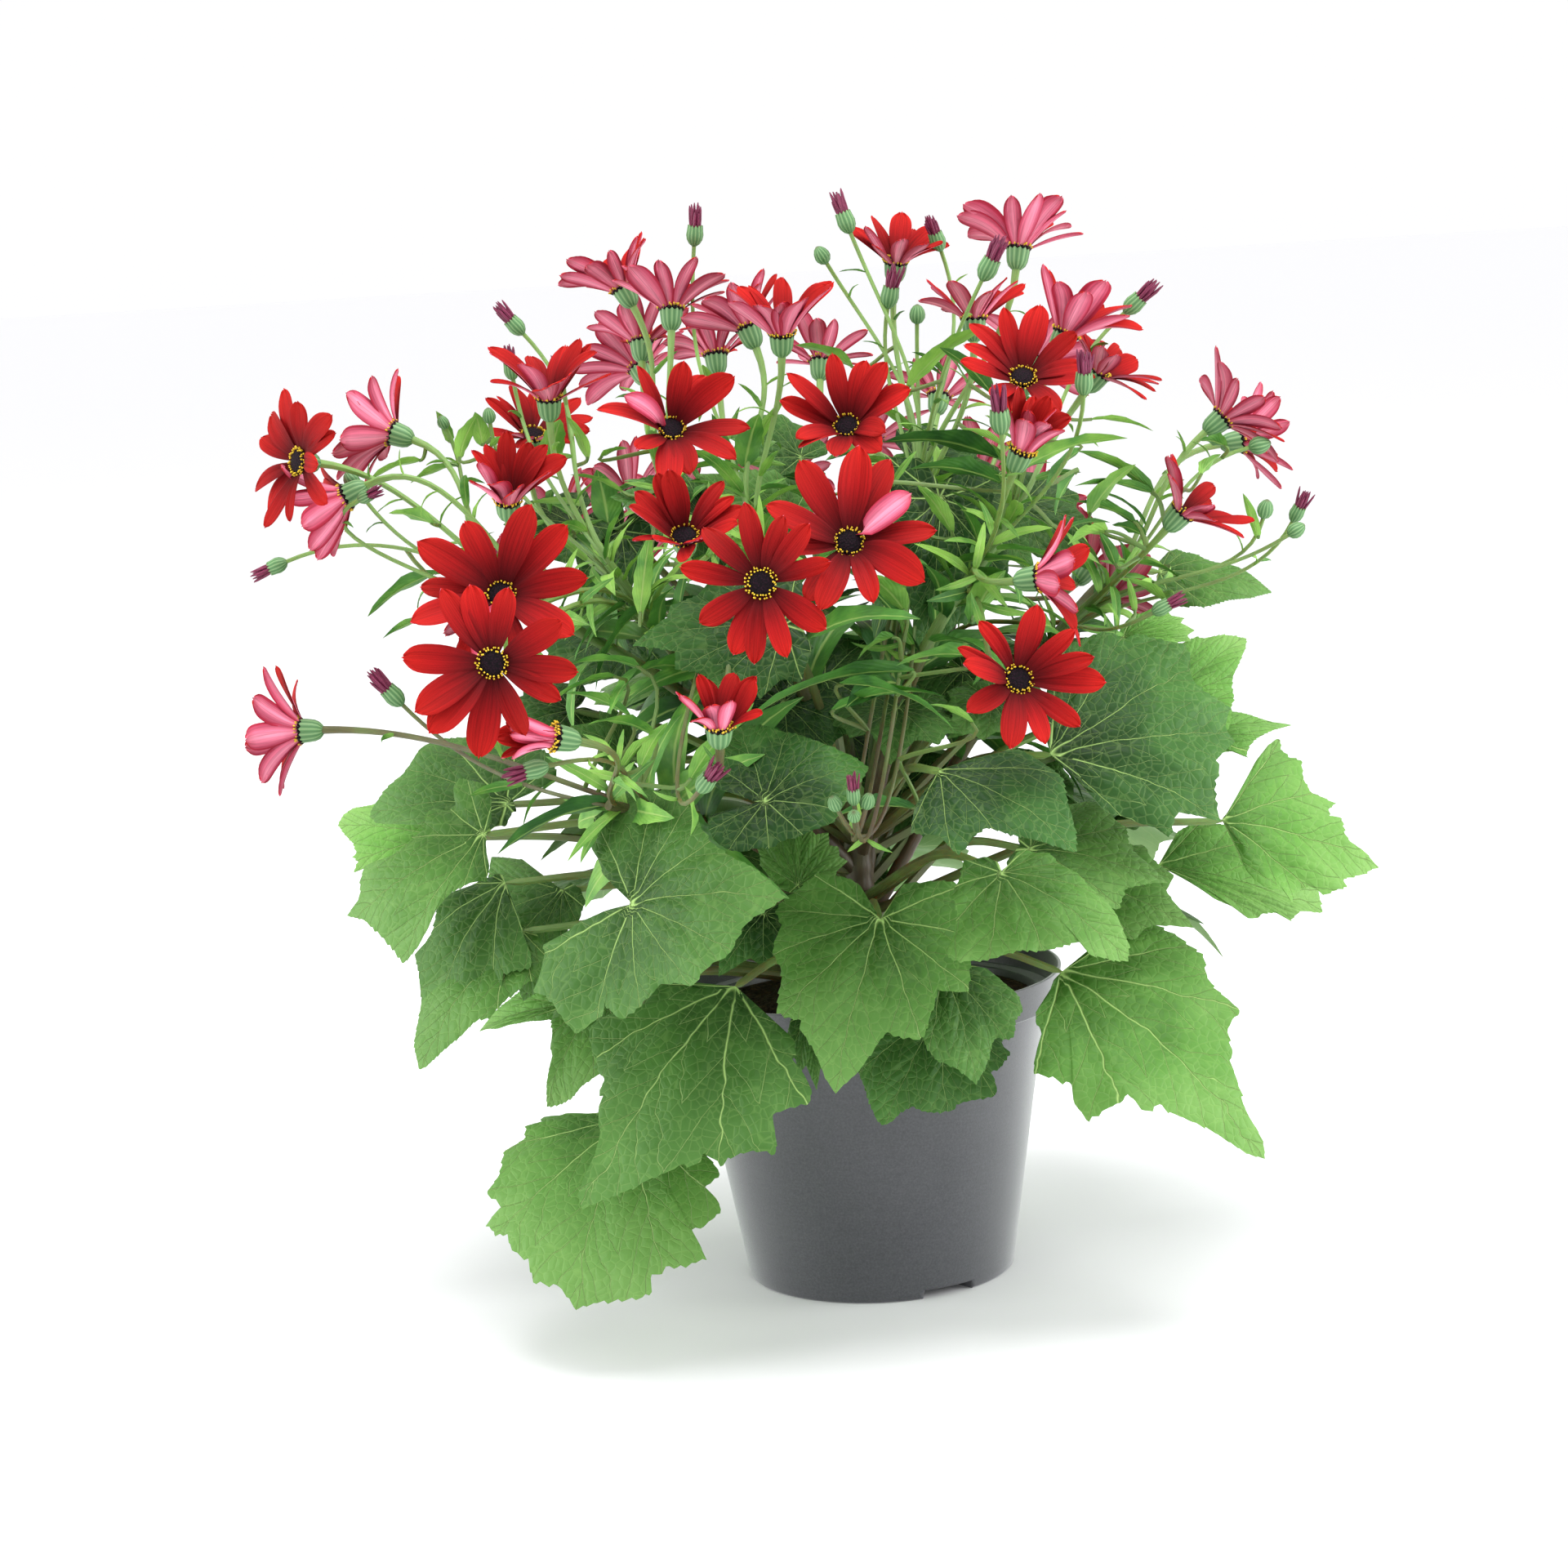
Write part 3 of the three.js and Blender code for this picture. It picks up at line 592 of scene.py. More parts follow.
# %% [markdown]
# The flower stems, flowers, buds and leaves could be spread by a rule, but then it would be
# another plant. So each was placed one by one in the picture. The lists below hold those
# choices, in the same order as the frame's nodes. Flowers and buds beyond the frame's own
# follow in lists of their own, because the frame holds sixty nodes.

# %% Where the flower stems run
STEMS = [
    [seen(900, 1020, -75), seen(745, 986, -125)],
    [seen(850, 860, -40), seen(610, 720, -70)],
    [seen(860, 840, -60), seen(745, 690, -70)],
    [seen(920, 780, 25), seen(812, 600, 10)],
    [seen(960, 780, -70), seen(915, 620, -60)],
    [seen(1100, 760, 10), seen(1125, 590, 0)],
    [seen(1130, 800, -70), seen(1235, 640, -60)],
    [seen(1220, 860, 20), seen(1375, 700, 10)],
    [around(-150, 60, 240), around(-150, 100, 320)],
    [around(145, 60, 240), around(145, 105, 320)],
]
# They fork from the main stem at seven heights, 8 mm apart from 150 mm up, taken in turn.
FORK_HEIGHTS = [150 + i * 3 % 7 * 8 for i in range(len(STEMS))]
STEM_PATHS = [[np.array([0, 0, fork]), *places] for fork, places in zip(FORK_HEIGHTS, STEMS)]
print("flower stems:", len(STEM_PATHS))

# %% Where the flowers stand
# Each row: disc in the picture, depth, the turn and rise that it faces, width, cup, stem.
FRAME_FLOWERS = [
    (1247, 303, 20, 150, 72, 62, 38, 6),
    (1097, 320, 60, 30, 75, 56, 42, 6),
    (1192, 390, -10, 170, 80, 60, 35, 6),
    (1305, 408, -60, 100, 60, 64, 45, 7),
    (1252, 462, -80, 0, 45, 60, 30, 7),
    (1497, 512, 30, 100, 35, 62, 32, 8),
    (1448, 627, -50, 80, 45, 58, 36, 8),
    (1252, 551, -110, 50, 60, 52, 74, 7),
    (1272, 708, -140, 75, 5, 60, 38, 7),
    (1247, 832, -175, 20, 20, 62, 22, 7),
    (1040, 664, -190, 5, 25, 70, 20, 6),
    (932, 714, -205, -5, 8, 60, 8, 5),
    (822, 525, -110, 15, 38, 64, 34, 4),
    (1037, 522, -120, -10, 40, 62, 44, 6),
    (957, 408, -60, 10, 75, 62, 46, 5),
    (822, 378, 40, 170, 72, 56, 42, 4),
    (762, 352, 70, -110, 62, 58, 40, 4),
    (672, 487, -60, 10, 78, 66, 42, 3),
    (613, 728, -165, -5, 25, 72, 20, 3),
    (603, 812, -215, 0, 8, 66, 8, 3),
    (365, 565, -70, -50, 10, 60, 15, 2),
    (480, 530, -20, -105, 20, 62, 36, 2),
    (368, 895, -60, -100, 0, 64, 36, 1),
]
MORE_FLOWERS = [
    (1347, 456, 10, 80, 50, 58, 28, 7),
    (838, 657, -150, 0, 45, 58, 40, 5),
    (915, 400, -10, -120, 68, 58, 40, 5),
    (785, 418, 90, 180, 65, 56, 38, 4),
    (876, 434, 80, 190, 70, 54, 35, 5),
    (1005, 442, 120, 170, 60, 56, 30, 6),
    (1150, 485, 150, 160, 55, 52, 30, 6),
    (652, 532, 10, 20, 60, 54, 28, 3),
    (622, 612, -90, 10, 60, 60, 58, 3),
    (680, 903, -200, -70, 15, 50, 80, 1),
    (881, 888, -205, 10, 65, 48, 52, 5),
    (424, 608, -60, -100, -25, 58, 42, 2),
    (1520, 540, 70, 100, 5, 56, 40, 8),
]
# Out of the picture: turn round the pot, reach, height and rise.
BACK_FLOWERS = [
    (112, 128, 284, 30), (127, 138, 294, 42), (143, 146, 318, 33), (158, 176, 330, 38), (174, 165, 352, 43),
    (190, 156, 334, 28), (205, 186, 318, 35), (220, 150, 336, 40), (236, 152, 326, 45), (252, 160, 300, 30),
]


def flower(place, turn, rise, width, cup, stem_number):
    """A flower by its disc's place, the turn and rise that it faces, its width in mm, the
    degrees that its petals rise, and its stem."""
    return {"place": place, "face": facing(turn, rise), "width": width, "cup": cup, "stem": stem_number}


def flower_behind(turn, reach, height, *rest):
    """A flower out of the picture, which faces outwards."""
    return flower(around(turn, reach, height), turn, *rest)


FLOWERS = [flower(seen(*row[:3]), *row[3:]) for row in FRAME_FLOWERS]
FLOWERS += [flower_behind(-150, 180, 392, 48, 64, 25, 9), flower_behind(150, 190, 385, 45, 66, 22, 10)]
FRAME_COUNT = len(FLOWERS)
FLOWERS += [flower(seen(*row[:3]), *row[3:]) for row in MORE_FLOWERS]
FLOWERS += [flower_behind(*row, 62, 24, 10 if row[0] < 180 else 9) for row in BACK_FLOWERS]
print("flowers:", len(FLOWERS))

# %% Where the buds stand
# Each row: foot in the picture, depth, the turn and rise that it points, size, stem.
FRAME_BUDS = [
    (1041, 284, 40, -110, 70, 1, 6),
    (850, 300, 60, 60, 82, 0.95, 5),
    (640, 408, 20, -80, 50, 0.9, 3),
    (1087, 376, 30, 60, 75, 1, 6),
    (1378, 382, 20, 80, 40, 1, 7),
    (350, 688, -30, -95, -20, 0.85, 2),
    (492, 862, -60, -80, 50, 1, 1),
    (1583, 638, 10, 60, 60, 0.8, 8),
]
MORE_BUDS = [
    (628, 464, -10, -20, 75, 0.8, 3),
    (1152, 306, 60, -60, 70, 0.9, 6),
    (1203, 342, -30, 75, 60, 1.05, 6),
    (1327, 482, -95, 20, 80, 0.95, 7),
    (1226, 530, -125, -15, 78, 1.05, 7),
    (440, 612, -70, 60, 20, 0.7, 2),
    (857, 968, -200, 50, 45, 0.9, 5),
    (1046, 985, -190, -10, 80, 0.68, 6),
    (1412, 750, -70, 95, 25, 0.8, 8),
    (670, 938, -195, -85, -10, 0.95, 1),
    (690, 472, 0, -10, 70, 0.8, 3),
]
GREEN_BUDS = [
    (1012, 322, 50, -70, 60, 0.62, 6),
    (1123, 396, 30, 20, 80, 0.62, 6),
    (1547, 634, 0, 40, 70, 0.62, 8),
    (1578, 655, 0, 90, 30, 0.6, 8),
    (1530, 548, 20, 90, 10, 0.7, 8),
    (437, 598, -50, -90, 60, 0.6, 2),
    (1026, 992, -188, -40, 60, 0.5, 6),
    (1060, 990, -188, 45, 65, 0.5, 6),
    (1046, 1004, -192, 0, 40, 0.45, 6),
    (600, 518, -22, -10, 75, 0.5, 3),
    (546, 524, -18, -40, 60, 0.45, 2),
]


def bud(u, v, depth, turn, rise, size, stem_number, ripe=True):
    """A bud seen in the picture. A ripe one shows its rolled petals."""
    place, face = seen(u, v, depth), facing(turn, rise)
    return {"place": place, "face": face, "size": size, "stem": stem_number, "ripe": ripe}


BUDS = [bud(*row) for row in FRAME_BUDS + MORE_BUDS] + [bud(*row, False) for row in GREEN_BUDS]
FRAME_BUD_COUNT = len(FRAME_BUDS)
print("buds:", len(BUDS))

# %% [markdown]
# A side stalk leaves its stem near the top and bends up into the cup of its flower. Higher
# flowers leave nearer the stem's end. A straight rod would meet the cup at an angle, and a
# cubic bend meets both ends along their own headings. The frame's own flowers keep the forks
# that the frame gives them, and the others take their places between them.

# %% Stems with their side stalks
STEM_LENGTH = 340
STEM_RADIUS = (3.1, 2.1)
STALK_RADIUS = 1.12
CUP_REACH = 9.7


def stalk_of(end, rank, count, depth):
    """The path of a side stalk, from its fork on the stem to the foot of its head."""
    path = STEM_PATHS[end["stem"] - 1]
    share = 0.62 + 0.38 * (rank + 0.5) / count
    fork = through(path, share)[0]
    foot = end["place"] - end["face"] * depth
    shares = steps_for(np.linalg.norm(foot - fork) * 1.1)
    return bend(fork, heading(path, share), foot, end["face"], shares)


def ranked(ends, depth):
    """Stalk paths for the ends of one stem, from the lowest to the highest."""
    order = sorted(ends, key=lambda pair: pair[0]["place"][2])
    count = len(order)
    return [(stalk_of(end, i, count, depth[kind]), end, kind) for i, (end, kind) in enumerate(order)]


def stalks_on(number):
    """All side stalks of one flower stem, as (path, end, kind of end)."""
    depth = {"flower": CUP_REACH, "bud": 0}
    in_frame = FLOWERS[:FRAME_COUNT], BUDS[:FRAME_BUD_COUNT]
    beyond = FLOWERS[FRAME_COUNT:], BUDS[FRAME_BUD_COUNT:]
    found = []
    for flowers, buds in (in_frame, beyond):
        ends = [(end, "flower") for end in flowers] + [(end, "bud") for end in buds]
        found += ranked([pair for pair in ends if pair[0]["stem"] == number], depth)
    return found


def stalk_shape(path, kind):
    """A stalk that is a little thicker at its fork and just under a flower's cup."""
    share = np.linspace(0, 1, len(path))
    swell = 0.35 * np.exp(-share * 14) + (0.55 if kind == "flower" else 0.1) * share**8
    thin = 1 if kind == "flower" else 0.75
    return stem(path, STALK_RADIUS * thin * (1 + swell), 8)


STALKS = {}
for number, path in enumerate(STEM_PATHS, 1):
    main = through(path, steps_for(STEM_LENGTH, 5))
    knuckles = 1 + 0.08 * np.sin(np.arange(len(main)) * 1.3) ** 6
    STALKS[number] = stalks_on(number)
    shapes = [stem(main, np.linspace(*STEM_RADIUS, len(main)) * knuckles, 12)]
    shapes += [stalk_shape(run, kind) for run, _, kind in STALKS[number]]
    put(f"flower_stalks_{number:02d}", shapes, [stem_skin], "green_stem", f"flower_stem_{number:02d}")
print("stems made:", totals)

# %% [markdown]
# A cineraria leaf is thin and soft, with a dull waxy upper side. Pale main veins fan out from
# the stalk to the lobes, side veins branch off them, and a fine net lies between. The skin
# sinks at the veins and swells between them, so each leaf looks quilted. The veins could be
# drawn in an image, but lines of equal distance, worked out from the leaf's own plan, stay
# sharp and follow the blade as it bends.

# %% Leaf blade skin
VEIN_STEP = math.radians(33)
# In leaf lengths: half a main vein at the stalk and near the tip, and the gap of side veins.
VEIN_WIDTH = (0.0086, 0.003)
SIDE_VEIN_GAP = 0.15
# The real net's finest cells are under 1 mm. It is drawn coarser, so that it shows.
NET_CELL = 4.0 * MM
# Veins wobble over about 17 mm, and the green changes over about 22 mm.
WOBBLE = 60.0
MOTTLE = 45.0


def veins(tree, reach, turn, place):
    """Vein strength, 0 to 1, from the leaf's plan. The turn is counted in main veins, so its
    fraction, folded, is the angle to the nearest one. Distance across that vein draws the
    main lines, and a slanted sum of distances along and across draws the side veins."""
    wobble = add(tree, "TexNoise", Vector=place, Scale=WOBBLE, Detail=2.0)
    shift = add(tree, "MapRange", wobble, 0.3, 0.7, -0.05, 0.05)
    turn = add(tree, "Math", turn, shift, operation="ADD")
    folded = add(tree, "Math", turn, 0.5, operation="PINGPONG")
    angle = add(tree, "Math", folded, VEIN_STEP, operation="MULTIPLY")
    slant = add(tree, "Math", angle, operation="SINE")
    across = add(tree, "Math", reach, slant, operation="MULTIPLY")
    thick = add(tree, "MapRange", reach, 0.0, 0.9, *VEIN_WIDTH)
    main = add(tree, "MapRange", across, 0.0, thick, 1.0, 0.0, interpolation_type="SMOOTHSTEP")
    sway = add(tree, "Math", shift, 0.16, across, operation="MULTIPLY_ADD")
    lag = add(tree, "Math", sway, -1.5, reach, operation="MULTIPLY_ADD")
    spaced = add(tree, "Math", lag, SIDE_VEIN_GAP, operation="DIVIDE")
    near = add(tree, "Math", spaced, 0.5, operation="PINGPONG")
    side = add(tree, "MapRange", near, 0.0, 0.03, 0.62, 0.0, interpolation_type="SMOOTHSTEP")
    edges = add(tree, "TexVoronoi", feature="DISTANCE_TO_EDGE", Vector=place, Scale=1 / NET_CELL)
    net = add(tree, "MapRange", edges, 0.0, 0.1, 0.1, 0.0, interpolation_type="SMOOTHSTEP")
    strong = add(tree, "Math", main, side, operation="MAXIMUM")
    quilt = add(tree, "Math", near, edges, operation="ADD")
    return add(tree, "Math", strong, net, operation="MAXIMUM"), quilt


def leaf_skin(tree, dark, fresh, vein_colour, vein_share, rough, swell):
    """Blends from the dark ramp to the fresh one by the leaf's own tone, each from the stalk
    to the tip, then draws the veins. The tone carries painted light as well as age: the fresh
    ramp also paints light shining through a leaf, and the dark one shade in the crown."""
    _, reach, turn, tone = plan_parts(tree)
    place = object_place(tree)
    lines, quilt = veins(tree, reach, turn, place)
    mottle = add(tree, "TexNoise", Vector=place, Scale=MOTTLE, Detail=5.0)
    drift = add(tree, "MapRange", mottle, 0.3, 0.7, -0.2, 0.2)
    outward = add(tree, "Math", reach, drift, operation="ADD")
    old = add(tree, "ValToRGB", outward, stops=dark)
    new = add(tree, "ValToRGB", outward, stops=fresh)
    # Painted light and shade: the tone blends towards fresh for leaves that light shines through and towards
    # dark for leaves in shade.
    blade = add(tree, "MixRGB", tone, old, new)
    drawn = add(tree, "Math", lines, vein_share, operation="MULTIPLY")
    body = add(tree, "MixRGB", drawn, blade, srgb(vein_colour))
    puffed = add(tree, "Math", quilt, 0.8, operation="MULTIPLY")
    height = add(tree, "Math", puffed, lines, operation="SUBTRACT")
    bump = add(tree, "Bump", Strength=swell, Distance=0.7 * MM, Height=height)
    return add(
        tree, "BsdfPrincipled", Base_Color=body, Roughness=rough, Specular_IOR_Level=0.2, Normal=bump
    )


def waxy_leaf_upper_side(tree):
    dark = [(0.05, "#0f2b08"), (0.45, "#1b4113"), (0.95, "#3a6829")]
    fresh = [(0.05, "#3c6e1e"), (0.45, "#649a40"), (0.95, "#7ba756")]
    return leaf_skin(tree, dark, fresh, "#a5ca74", 0.92, 0.5, 1.0)


def dull_leaf_under_side(tree):
    dark = [(0.05, "#55804a"), (0.45, "#658f57"), (0.95, "#7aa268")]
    fresh = [(0.05, "#6f9645"), (0.45, "#80a84e"), (0.95, "#95b860")]
    return leaf_skin(tree, dark, fresh, "#b3c78c", 0.5, 0.62, -0.6)


leaf_looks = [material(waxy_leaf_upper_side), material(dull_leaf_under_side), stem_skin]

# %% [markdown]
# A blade is drawn flat first, with the stalk at its middle and the tip at reach 1. Its outline
# is a row of lobes and notches with fine teeth, or was traced in the picture. The flat plan
# is then laid through the lobe points read from the picture, arched, drooped, quilted between
# the veins and given a wavy edge. A leaf could be sculpted by hand, but here every step is
# one formula on the whole grid, which serves all the leaves.

# %% The leaf's outline
LOBES = [(0, 1.0), (31, 0.75), (62, 0.68), (97, 0.6), (132, 0.5)]
NOTCHES = [(17, 0.7), (47, 0.62), (80, 0.55), (115, 0.47)]
CLEFT = [(152, 0.37), (170, 0.16), (180, 0.05)]
SIDE_LOBE, BASE_LOBE = LOBES[2], LOBES[4]
TOOTH_DEPTH = 0.014
RIM_PLACES = 240
PLAIN_PLACES = 130
ARCH, DROOP = 0.4, 0.22
SETTLING_ROUNDS = 6


def flat_point(turn, reach):
    """Turn and reach as x along the leaf and y across it."""
    return np.stack([reach * np.cos(np.radians(turn)), reach * np.sin(np.radians(turn))], -1)


def flattened(offsets, plan):
    """Offsets from the joint as x along the leaf and y across it, in leaf lengths."""
    return offsets @ plan["axes"].T / plan["length"] ** 2


def plain_outline(plan, rng):
    """A leaf's outline when none was traced: lobes, notches and cleft, a little varied. Each
    point lies between two lobes of known place, as the sum of the two in its own shares."""
    turn, reach = np.array(sorted(LOBES + NOTCHES + CLEFT)).T
    flats = np.array([flat_point(*lobe) for lobe in [LOBES[0], SIDE_LOBE, BASE_LOBE, (180, 1)]])
    mean_base = np.mean([np.linalg.norm(base) for _, base in plan["sides"]])
    back = -plan["ahead"] / np.linalg.norm(plan["ahead"]) * mean_base / BASE_LOBE[1]
    sector = (turn > SIDE_LOBE[0]).astype(int) + (turn > BASE_LOBE[0])
    near, far = flats[sector], flats[sector + 1]
    halves = []
    for side, base in plan["sides"]:
        vary = 1 + rng.normal(0, 0.04, len(turn)) * (turn > 0) * (turn < CLEFT[0][0])
        x, y = flat_point(turn, reach * vary).T
        size = near[:, 0] * far[:, 1] - near[:, 1] * far[:, 0]
        shares = np.stack([x * far[:, 1] - y * far[:, 0], near[:, 0] * y - near[:, 1] * x]) / size
        ends = np.array([plan["ahead"], side, base, back])
        halves.append(ends[sector] * shares[0][:, None] + ends[sector + 1] * shares[1][:, None])
    return flattened(np.concatenate([halves[0], halves[1][:0:-1]]), plan)


def rise_of(x, y):
    """How far the blade stands off its plane: an arch along the leaf and a droop across."""
    ahead = np.clip(x, 0, 1.1)
    return ARCH * ahead * (1 - ahead) - DROOP * y**2


def traced_outline(plan):
    """A leaf's outline from points traced in the picture. Each is dropped on the plane at the
    height that the blade has there, which settles in a few rounds."""
    height = np.zeros(len(plan["traced"]))
    for _ in range(SETTLING_ROUNDS):
        planes = plan["joint"] + height[:, None] * plan["face"]
        flat = flattened(seen_on(plan["traced"], planes, plan["face"]) - plan["joint"], plan)
        height = rise_of(*flat.T) * plan["length"]
    return flat


def rim_of(corners, places, rng):
    """A closed outline with its places evenly spaced, and small teeth of three or four places
    that lean towards the tip, each of its own depth."""
    closed = np.concatenate([corners, corners[:1]])
    length = length_along(closed)
    even = np.linspace(0, length[-1], places, endpoint=False)
    rim = np.stack([np.interp(even, length, closed[:, k]) for k in (0, 1)], 1)
    sizes = rng.integers(3, 5, places)
    share = np.concatenate([np.arange(size) / (size - 1) for size in sizes])[:places]
    depth = np.repeat(rng.uniform(0.1, 1.3, places), sizes)[:places]
    tooth = np.where(rim[:, 1] > 0, (share * depth)[::-1], share * depth)
    reach = np.linalg.norm(rim, axis=1, keepdims=True)
    return rim * (1 + TOOTH_DEPTH * tooth[:, None] * np.clip(reach * 3, 0, 1) / (reach + 0.05))


# %% The blade
HALF_BLADE = 0.22
RINGS = np.array([0.12, 0.27, 0.41, 0.54, 0.66, 0.77, 0.87, 0.95, 1.0])
# In leaf lengths: the swell between veins, the wave of the edge and the slow ripple.
QUILT, EDGE_WAVE, SLOW_RIPPLE = 0.04, 0.014, 0.028


def blade(plan, rng):
    """Upper and lower sheets of rings about the stalk's end, sharing the rim. Besides arch and
    droop, the blade swells between its main veins, ripples slowly and has a wavy edge."""
    corners = traced_outline(plan) if len(plan["traced"]) else plain_outline(plan, rng)
    rim = rim_of(corners, RIM_PLACES if plan["seen"] else PLAIN_PLACES, rng)
    flat = RINGS[:, None, None] * rim
    x, y = flat[..., 0], flat[..., 1]
    turn, reach = np.arctan2(y, x), np.hypot(x, y)
    lobes = flattened(np.array(plan["sides"]), plan)
    ends = np.abs(np.arctan2(lobes[..., 1], lobes[..., 0]))
    phases = [np.interp(np.abs(turn), [0, *sorted(e), np.pi], [0, 2, 4, 5.5]) for e in ends]
    phase = np.where(turn > 0, phases[0], -phases[1])
    edge = RINGS[:, None] ** 3
    swell = np.sin(np.pi * phase) ** 2 * reach * (1 - 0.6 * edge)
    wave = np.sin(turn * 7 + rng.uniform(0, 6)) + 0.8 * np.sin(turn * 13 + rng.uniform(0, 6))
    slow = ripple(np.stack([x, y, 0 * x], -1), 0.8, rng)
    rise = rise_of(x, y) + QUILT * swell + EDGE_WAVE * wave * edge + SLOW_RIPPLE * slow * reach
    middle = plan["joint"] + flat @ plan["axes"] + (rise * plan["length"])[..., None] * plan["face"]
    half = plan["face"] * HALF_BLADE
    grid = stacked(reach, phase, plan["tone"])
    rows, columns = x.shape
    numbers = numbered(rows, columns)
    under = np.concatenate([numbers[:-1] + numbers.size, numbers[-1:]])
    centre = numbers.size + (rows - 1) * columns
    upper = np.concatenate([cells(closed_round(numbers)), fan(centre, numbers[0])])
    lower = np.concatenate([cells(closed_round(under))[:, ::-1], fan(centre + 1, under[0][::-1])])
    raised = middle + half * np.append(np.ones(rows - 1), 0)[:, None, None]
    parts = [raised.reshape(-1, 3), (middle[:-1] - half).reshape(-1, 3)]
    parts.append([plan["joint"] + half, plan["joint"] - half])
    centre_plan = np.array([[0, 0.5, plan["tone"]]] * 2)
    plans = np.concatenate([grid.reshape(-1, 3), grid[:-1].reshape(-1, 3), centre_plan])
    look = np.repeat([0, 1], [len(upper), len(lower)])
    return shape(np.concatenate(parts), np.concatenate([upper, lower]), plans, look)


# %% [markdown]
# Where each leaf is: the end of its stalk in the picture with a depth, the way its face looks,
# its tip, side lobe and base lobe, and the same two lobes of the other side, anticlockwise.
# The tone runs from 0, dark, to 1, yellow-green. It is partly the leaf's age and partly
# painted light: a leaf that light shines through has a high tone, and one in the shade of the
# crown a low one. Three points would fix a plane, but five let the two halves of a leaf
# differ, as they do in life. Leaves out of the picture are set by their turn round the pot.

# %% What a leaf is given by
def leaf_plan(joint, face, ahead, sides, tone, stem_number=0):
    """All that a blade needs. Its two axes run along it and across it, a leaf length each."""
    axes = np.stack([ahead, np.cross(face, ahead)])
    length = np.linalg.norm(ahead)
    plan = {"joint": joint, "face": face, "ahead": ahead, "axes": axes, "length": length, "sides": sides}
    return plan | {"tone": tone, "stem": stem_number, "seen": True, "traced": []}


def leaf(u, v, depth, turn, rise, tip, side, base, other_base, other_side, tone, stem_number=0):
    """A leaf seen in the picture."""
    joint, face = seen(u, v, depth), facing(turn, rise)
    points = [tip, side, base, other_base, other_side]
    ahead, left, left_base, right_base, right = seen_on(points, joint, face) - joint
    return leaf_plan(joint, face, ahead, [[left, left_base], [right, right_base]], tone, stem_number)


def plain_leaf(joint, tip, face, broad, tone=0.3, stem_number=0):
    """A leaf known by its joint and tip. Its side lobes are the usual ones, made broader."""
    ahead = tip - joint
    normal = unit(face - ahead * (face @ ahead) / (ahead @ ahead))
    across = np.cross(normal, ahead) * broad
    lobes = [flat_point(*SIDE_LOBE), flat_point(*BASE_LOBE)]
    sides = [[ahead * x + across * way * y for x, y in lobes] for way in (1, -1)]
    return leaf_plan(joint, normal, ahead, sides, tone, stem_number) | {"seen": False}


# %% Where the leaves hang
# After its five points, each row gives the tone: partly the leaf's age and partly painted light, high for a
# leaf that light shines through and low for one in shade.
LEAVES = [
    leaf(1078, 1126, -118, -5, 35, (1024, 1336), (1186, 1212), (1175, 1083), (1000, 1072), (948, 1170), 0.45),
    leaf(775, 1107, -150, -35, 30, (957, 1098), (850, 982), (727, 1003), (702, 1264), (850, 1210), 0.25),
    leaf(901, 1208, -120, -15, 35, (717, 1480), (985, 1348), (940, 1200), (865, 1190), (745, 1215), 0.28),
    leaf(775, 1370, -85, -20, 45, (705, 1600), (885, 1480), (850, 1330), (690, 1300), (622, 1408), 0.6),
    leaf(1300, 1190, -90, 15, 40, (1549, 1420), (1470, 1160), (1318, 1165), (1275, 1195), (1266, 1315), 0.65),
    leaf(
        1227, 1069, -150, 15, 45, (1380, 1178), (1310, 1062), (1250, 1045), (1140, 1090), (1210, 1174), 0.55
    ),
    leaf(1150, 944, -165, 10, 50, (1318, 1040), (1240, 915), (1175, 925), (1118, 965), (1160, 1040), 0.0),
    leaf(1287, 924, -100, 20, 30, (1510, 900), (1375, 775), (1290, 840), (1300, 975), (1405, 1040), 0.05),
    leaf(1497, 1005, -20, 20, 35, (1685, 1063), (1568, 903), (1500, 985), (1490, 1020), (1528, 1085), 0.8),
    leaf(1418, 1060, 35, 25, 30, (1617, 1118), (1500, 975), (1430, 1010), (1425, 1085), (1495, 1105), 0.75),
    leaf(937, 981, -150, -5, 45, (1068, 940), (965, 895), (880, 935), (885, 1045), (990, 1030), 0.0),
    leaf(592, 1022, -60, -25, 25, (494, 1180), (600, 1080), (610, 1028), (572, 955), (468, 1030), 0.45),
    leaf(619, 1081, -30, -30, 25, (524, 1262), (655, 1160), (632, 1090), (600, 1050), (545, 1085), 0.25),
    leaf(620, 985, 10, -20, 35, (452, 997), (550, 1030), (640, 1005), (685, 930), (540, 905), 0.25),
    leaf(1150, 1235, -100, 0, 30, (1083, 1378), (1218, 1340), (1240, 1270), (1110, 1190), (1055, 1260), 0.1),
    leaf(740, 1215, -20, -25, 30, (669, 1355), (770, 1290), (790, 1230), (700, 1190), (665, 1250), 0.6),
    leaf(1420, 700, 70, 30, 40, (1557, 724), (1480, 655), (1420, 670), (1410, 725), (1470, 748), 0.4, 8),
    leaf(1150, 610, -40, 20, 15, (1125, 815), (1230, 715), (1215, 590), (1090, 560), (1062, 690), 0.0, 6),
    plain_leaf(around(-125, 120, 175), around(-125, 210, 120), facing(-125, 45), 1.1),
    plain_leaf(around(-172, 125, 165), around(-172, 205, 105), facing(-172, 45), 1.15),
    plain_leaf(around(140, 125, 185), around(140, 215, 135), facing(140, 45), 1.05),
    plain_leaf(around(115, 115, 155), around(115, 180, 112), facing(110, 45), 0.62),
]
FRAME_LEAF_COUNT = len(LEAVES)
